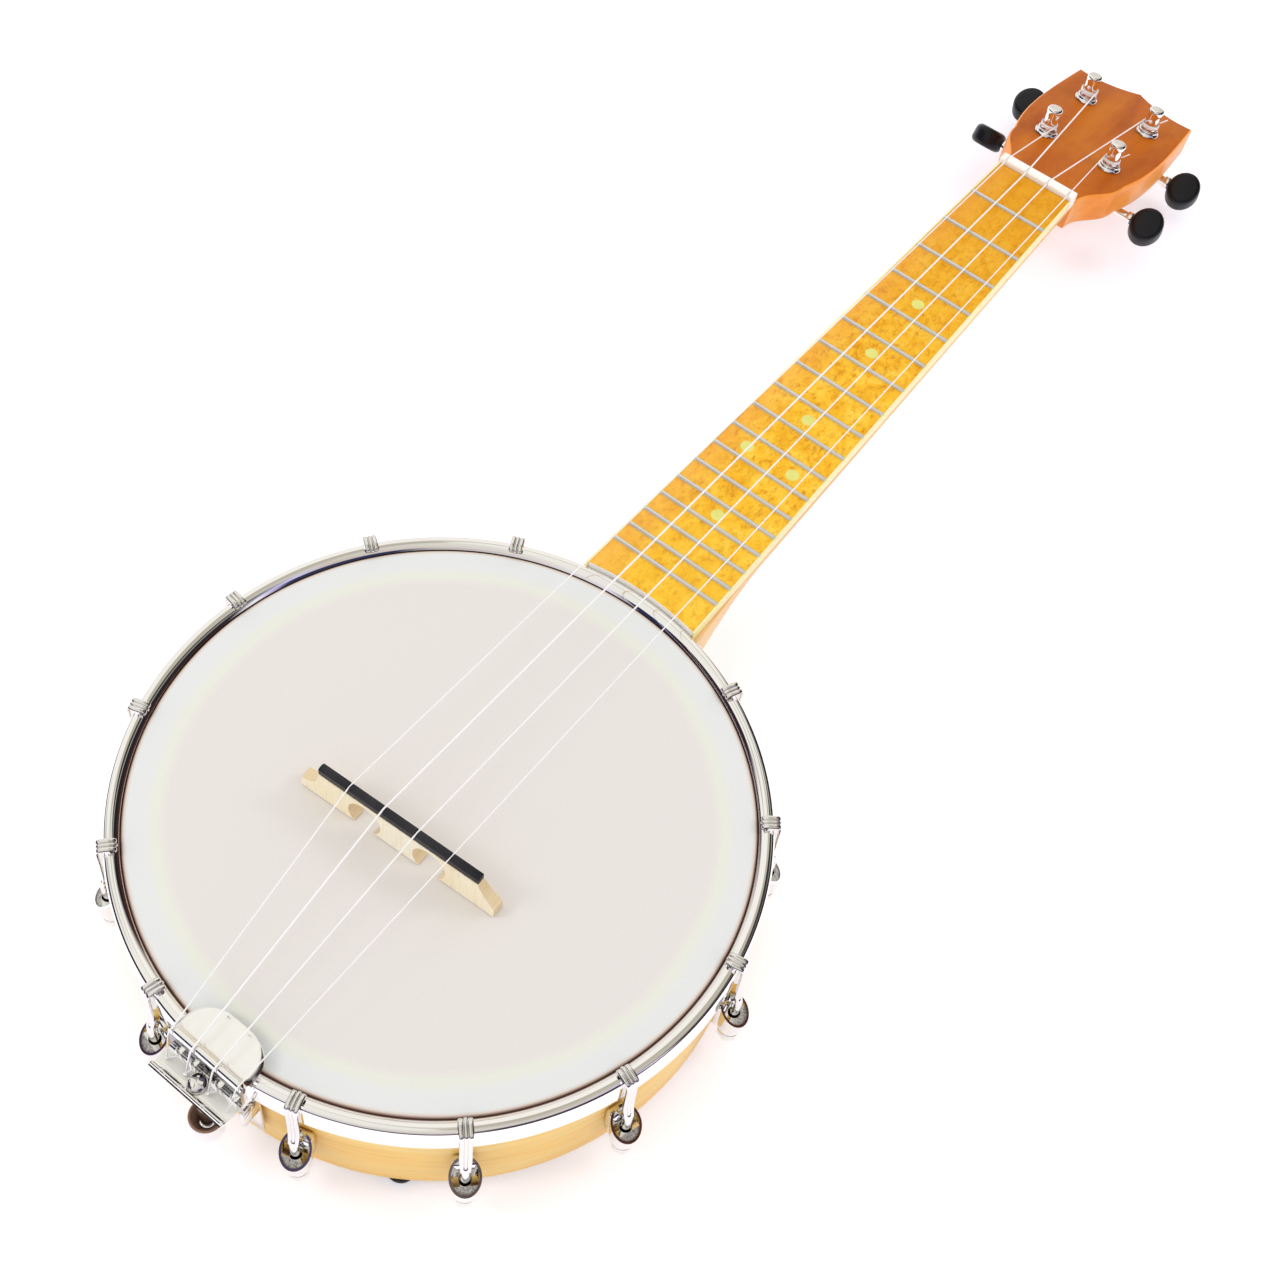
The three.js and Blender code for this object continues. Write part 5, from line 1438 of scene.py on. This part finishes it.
# Down round its post, with a loose end
def postRoute(index, radius):
    post = strings["posts"][index]
    side = 1 if post < 2 else -1
    station = postStations[post % 2]
    wrap = tuner["waist"] + radius + strings["slack"]
    pitch = 2 * radius + strings["wrapGap"]
    perTurn = strings["perTurn"]
    steps = round(strings["turns"] * perTurn)
    low = tuner["bush"] + strings["wrapLow"] + radius
    spots = [(wrap, -90 + 360 * step / perTurn, low + pitch * (steps - step) / perTurn)
             for step in range(steps + 1)]
    last = spots[-1][1] + strings["looseTurn"]
    spots += [(wrap + reach, last, tuner["bush"] + strings["looseLow"] + reach * strings["looseRise"])
              for reach in strings["looseReach"]]
    return [(station + distance * math.cos(side * turn * degree),
             side * (postSpread + distance * math.sin(turn * degree)), height)
            for distance, turn, height in spots]


# The whole way in the frame's metres
def stringRoute(index, radius):
    rank = stringRanks[index]
    onBridge = bridge["height"] - bridge["slotDepth"] + radius + strings["bridgeLift"]
    onNut = nut["rise"] - strings["nutSink"] + radius
    front = neck["nut"] + seat
    stages = (
        (tailPlace, tailRoute(index, radius)),
        (bridgePlace, [(0, rank * bridge["spacing"], onBridge)]),
        (neckPlace, [(u, rank * nut["spacing"], onNut)
                     for u in (front + strings["nutFront"], front + nut["thick"] - strings["nutBack"])]),
        (headPlace, postRoute(index, radius)),
    )
    return [place @ (Vector(spot) * mm) for place, spots in stages for spot in spots]


def tubeShape(route, radius):
    curve = bpy.data.curves.new("string path", "CURVE")
    curve.dimensions = "3D"
    curve.bevel_depth = radius * mm
    curve.bevel_resolution = 3
    curve.use_fill_caps = True
    spline = curve.splines.new("POLY")
    spline.points.add(len(route) - 1)
    for target, spot in zip(spline.points, route):
        target.co = (*spot, 1)
    holder = bpy.data.objects.new("string path", curve)
    bpy.context.scene.collection.objects.link(holder)
    bpy.context.view_layer.update()
    mesh = bpy.data.meshes.new_from_object(holder.evaluated_get(bpy.context.evaluated_depsgraph_get()))
    shape = bmesh.new()
    shape.from_mesh(mesh)
    bpy.data.objects.remove(holder)
    bpy.data.curves.remove(curve)
    bpy.data.meshes.remove(mesh)
    bmesh.ops.remove_doubles(shape, verts=shape.verts, dist=1e-7)
    bmesh.ops.recalc_face_normals(shape, faces=shape.faces)
    return shape


def makeStrings():
    for index, diameter in enumerate(strings["diameters"]):
        tube = tubeShape(stringRoute(index, diameter / 2), diameter / 2)
        makePiece(f"nylon_{index + 1}", tube, Matrix.Scale(1 / mm, 4), "string", smooth=60,
                  stands=[f"string_{index + 1}"])


makeStrings()
print("strings ready")


# Studio: white floor, pale world with darker bands for the chrome, two soft lamps
studio = {
    "floor": (0.88, 0.87, 0.96), "lift": 0.3, "dome": 0.93,
    "lamps": (((0.75, -0.85, 1.0), 3.2), ((-0.85, 0.75, 1.0), 3.2)), "lampSize": 0.4,
    "aim": (-0.05, 0.0, 0.05),
    # What shiny pieces see: bands by compass turn (0 and 1 are -X, 0.25 is -Y), borders and streak by height
    "low": [(0.0, (0.08, 0.06, 0.12)), (0.13, (0.1, 0.06, 0.05)), (0.23, (0.08, 0.03, 0.02)),
            (0.5, (0.06, 0.02, 0.015)), (0.53, (0.75, 0.7, 0.65)), (0.72, (0.8, 0.78, 0.75)),
            (0.77, (0.05, 0.03, 0.06)), (1.0, (0.06, 0.04, 0.08))],
    "lowBorder": (0.34, 0.38),
    "middle": [(0.0, (0.75, 0.72, 0.75)), (0.12, (0.5, 0.47, 0.45)), (0.15, (0.03, 0.04, 0.1)),
               (0.24, (0.03, 0.04, 0.1)), (0.25, (0.4, 0.36, 0.6)), (0.27, (0.96, 0.94, 1.0)),
               (0.29, (0.02, 0.02, 0.03)), (0.5, (0.015, 0.015, 0.02)), (0.525, (0.94, 0.9, 0.82)),
               (0.78, (0.94, 0.9, 0.86)), (0.81, (0.03, 0.015, 0.02)), (0.9, (0.03, 0.015, 0.02)),
               (0.92, (0.02, 0.03, 0.09)), (0.95, (0.02, 0.03, 0.09)), (0.97, (0.75, 0.72, 0.8)),
               (1.0, (0.75, 0.72, 0.75))],
    "highBorder": (0.64, 0.68),
    "high": [(0.0, (0.8, 0.76, 0.72)), (0.22, (0.6, 0.52, 0.47)), (0.25, (0.65, 0.6, 0.9)),
             (0.3, (0.1, 0.09, 0.08)), (0.5, (0.03, 0.03, 0.03)), (0.535, (0.94, 0.92, 0.86)),
             (0.73, (0.94, 0.92, 0.86)), (0.76, (0.5, 0.5, 0.48)), (0.79, (0.94, 0.92, 0.86)),
             (1.0, (0.85, 0.83, 0.8))],
    "streak": [(0.7, (0, 0, 0)), (0.72, (0.45, 0.43, 0.36)), (0.75, (0.45, 0.43, 0.36)), (0.77, (0, 0, 0))],
    "topBorder": (0.868, 0.882),
    "top": [(0.0, (0.8, 0.78, 0.74)), (0.42, (0.52, 0.49, 0.42)), (0.6, (0.5, 0.46, 0.38)),
            (0.625, (0.88, 0.87, 0.81)), (1.0, (0.86, 0.85, 0.79))],
}


def makeFloor():
    shape = bmesh.new()
    bmesh.ops.create_grid(shape, x_segments=1, y_segments=1, size=4)
    mesh = bpy.data.meshes.new("floor")
    shape.to_mesh(mesh)
    shape.free()
    floor = bpy.data.objects.new("floor", mesh)
    bpy.context.scene.collection.objects.link(floor)
    look = bpy.data.materials.new("floor paper")
    look.use_nodes = True
    tree = look.node_tree
    tree.nodes.clear()
    paper = addNode(tree, "ShaderNodeBsdfDiffuse")
    feed(tree, paper.inputs["Color"], studio["floor"])
    glow = addNode(tree, "ShaderNodeEmission")
    path = addNode(tree, "ShaderNodeLightPath").outputs
    mirrored = maths(tree, "MAXIMUM", path["Is Glossy Ray"], path["Is Transmission Ray"])
    seen = maths(tree, "MAXIMUM", path["Is Camera Ray"], mirrored)
    wire(tree, maths(tree, "MULTIPLY", seen, studio["lift"]), glow.inputs["Strength"])
    both = addNode(tree, "ShaderNodeAddShader")
    wire(tree, paper.outputs["BSDF"], both.inputs[0])
    wire(tree, glow.outputs["Emission"], both.inputs[1])
    wire(tree, both.outputs["Shader"], addNode(tree, "ShaderNodeOutputMaterial").inputs["Surface"])
    mesh.materials.append(look)


def background(tree, color, strength=1.0):
    node = addNode(tree, "ShaderNodeBackground")
    feed(tree, node.inputs["Color"], color)
    node.inputs["Strength"].default_value = strength
    return node.outputs["Background"]


def mixShaders(tree, share, first, second):
    node = addNode(tree, "ShaderNodeMixShader")
    wire(tree, share, node.inputs["Fac"])
    wire(tree, first, node.inputs[1])
    wire(tree, second, node.inputs[2])
    return node.outputs["Shader"]


def makeWorld():
    world = bpy.data.worlds.new("studio")
    bpy.context.scene.world = world
    world.use_nodes = True
    tree = world.node_tree
    tree.nodes.clear()
    parts = separate(tree, addNode(tree, "ShaderNodeTexCoord").outputs["Generated"])
    turn = maths(tree, "ARCTAN2", parts["Y"], parts["X"])
    around = spread(tree, turn, -math.pi, math.pi, 0.0, 1.0)
    height = parts["Z"]
    low, middle, high = (ramp(tree, around, studio[name]) for name in ("low", "middle", "high"))
    streak = ramp(tree, height, studio["streak"])
    sky = mixColors(tree, spread(tree, height, *studio["lowBorder"], 0.0, 1.0), low, middle)
    sky = mixColors(tree, spread(tree, height, *studio["highBorder"], 0.0, 1.0), sky, high)
    sky = mixColors(tree, 1.0, sky, streak, "LIGHTEN")
    topShare = spread(tree, height, *studio["topBorder"], 0.0, 1.0)
    sky = mixColors(tree, topShare, sky, ramp(tree, around, studio["top"]))
    mirror = background(tree, sky)
    dome = background(tree, (1, 1, 1), studio["dome"])
    plain = background(tree, (1, 1, 1))
    path = addNode(tree, "ShaderNodeLightPath").outputs
    glossy = mixShaders(tree, path["Is Glossy Ray"], dome, mirror)
    seen = maths(tree, "MAXIMUM", path["Is Camera Ray"], path["Is Transmission Ray"])
    shown = mixShaders(tree, seen, glossy, plain)
    wire(tree, shown, addNode(tree, "ShaderNodeOutputWorld").inputs["Surface"])


def makeLamps():
    for index, (place, power) in enumerate(studio["lamps"], 1):
        lamp = bpy.data.objects.new(f"lamp_{index}", bpy.data.lights.new(f"lamp_{index}", "AREA"))
        lamp.data.energy = power
        lamp.data.size = studio["lampSize"]
        lamp.location = place
        sight = Vector(studio["aim"]) - Vector(place)
        lamp.rotation_mode = "QUATERNION"
        lamp.rotation_quaternion = sight.to_track_quat("-Z", "Y")
        lamp.visible_glossy = False
        bpy.context.scene.collection.objects.link(lamp)


makeFloor()
makeWorld()
makeLamps()
bpy.context.scene.view_settings.view_transform = "Standard"
print("studio ready")

bpy.context.view_layer.update()
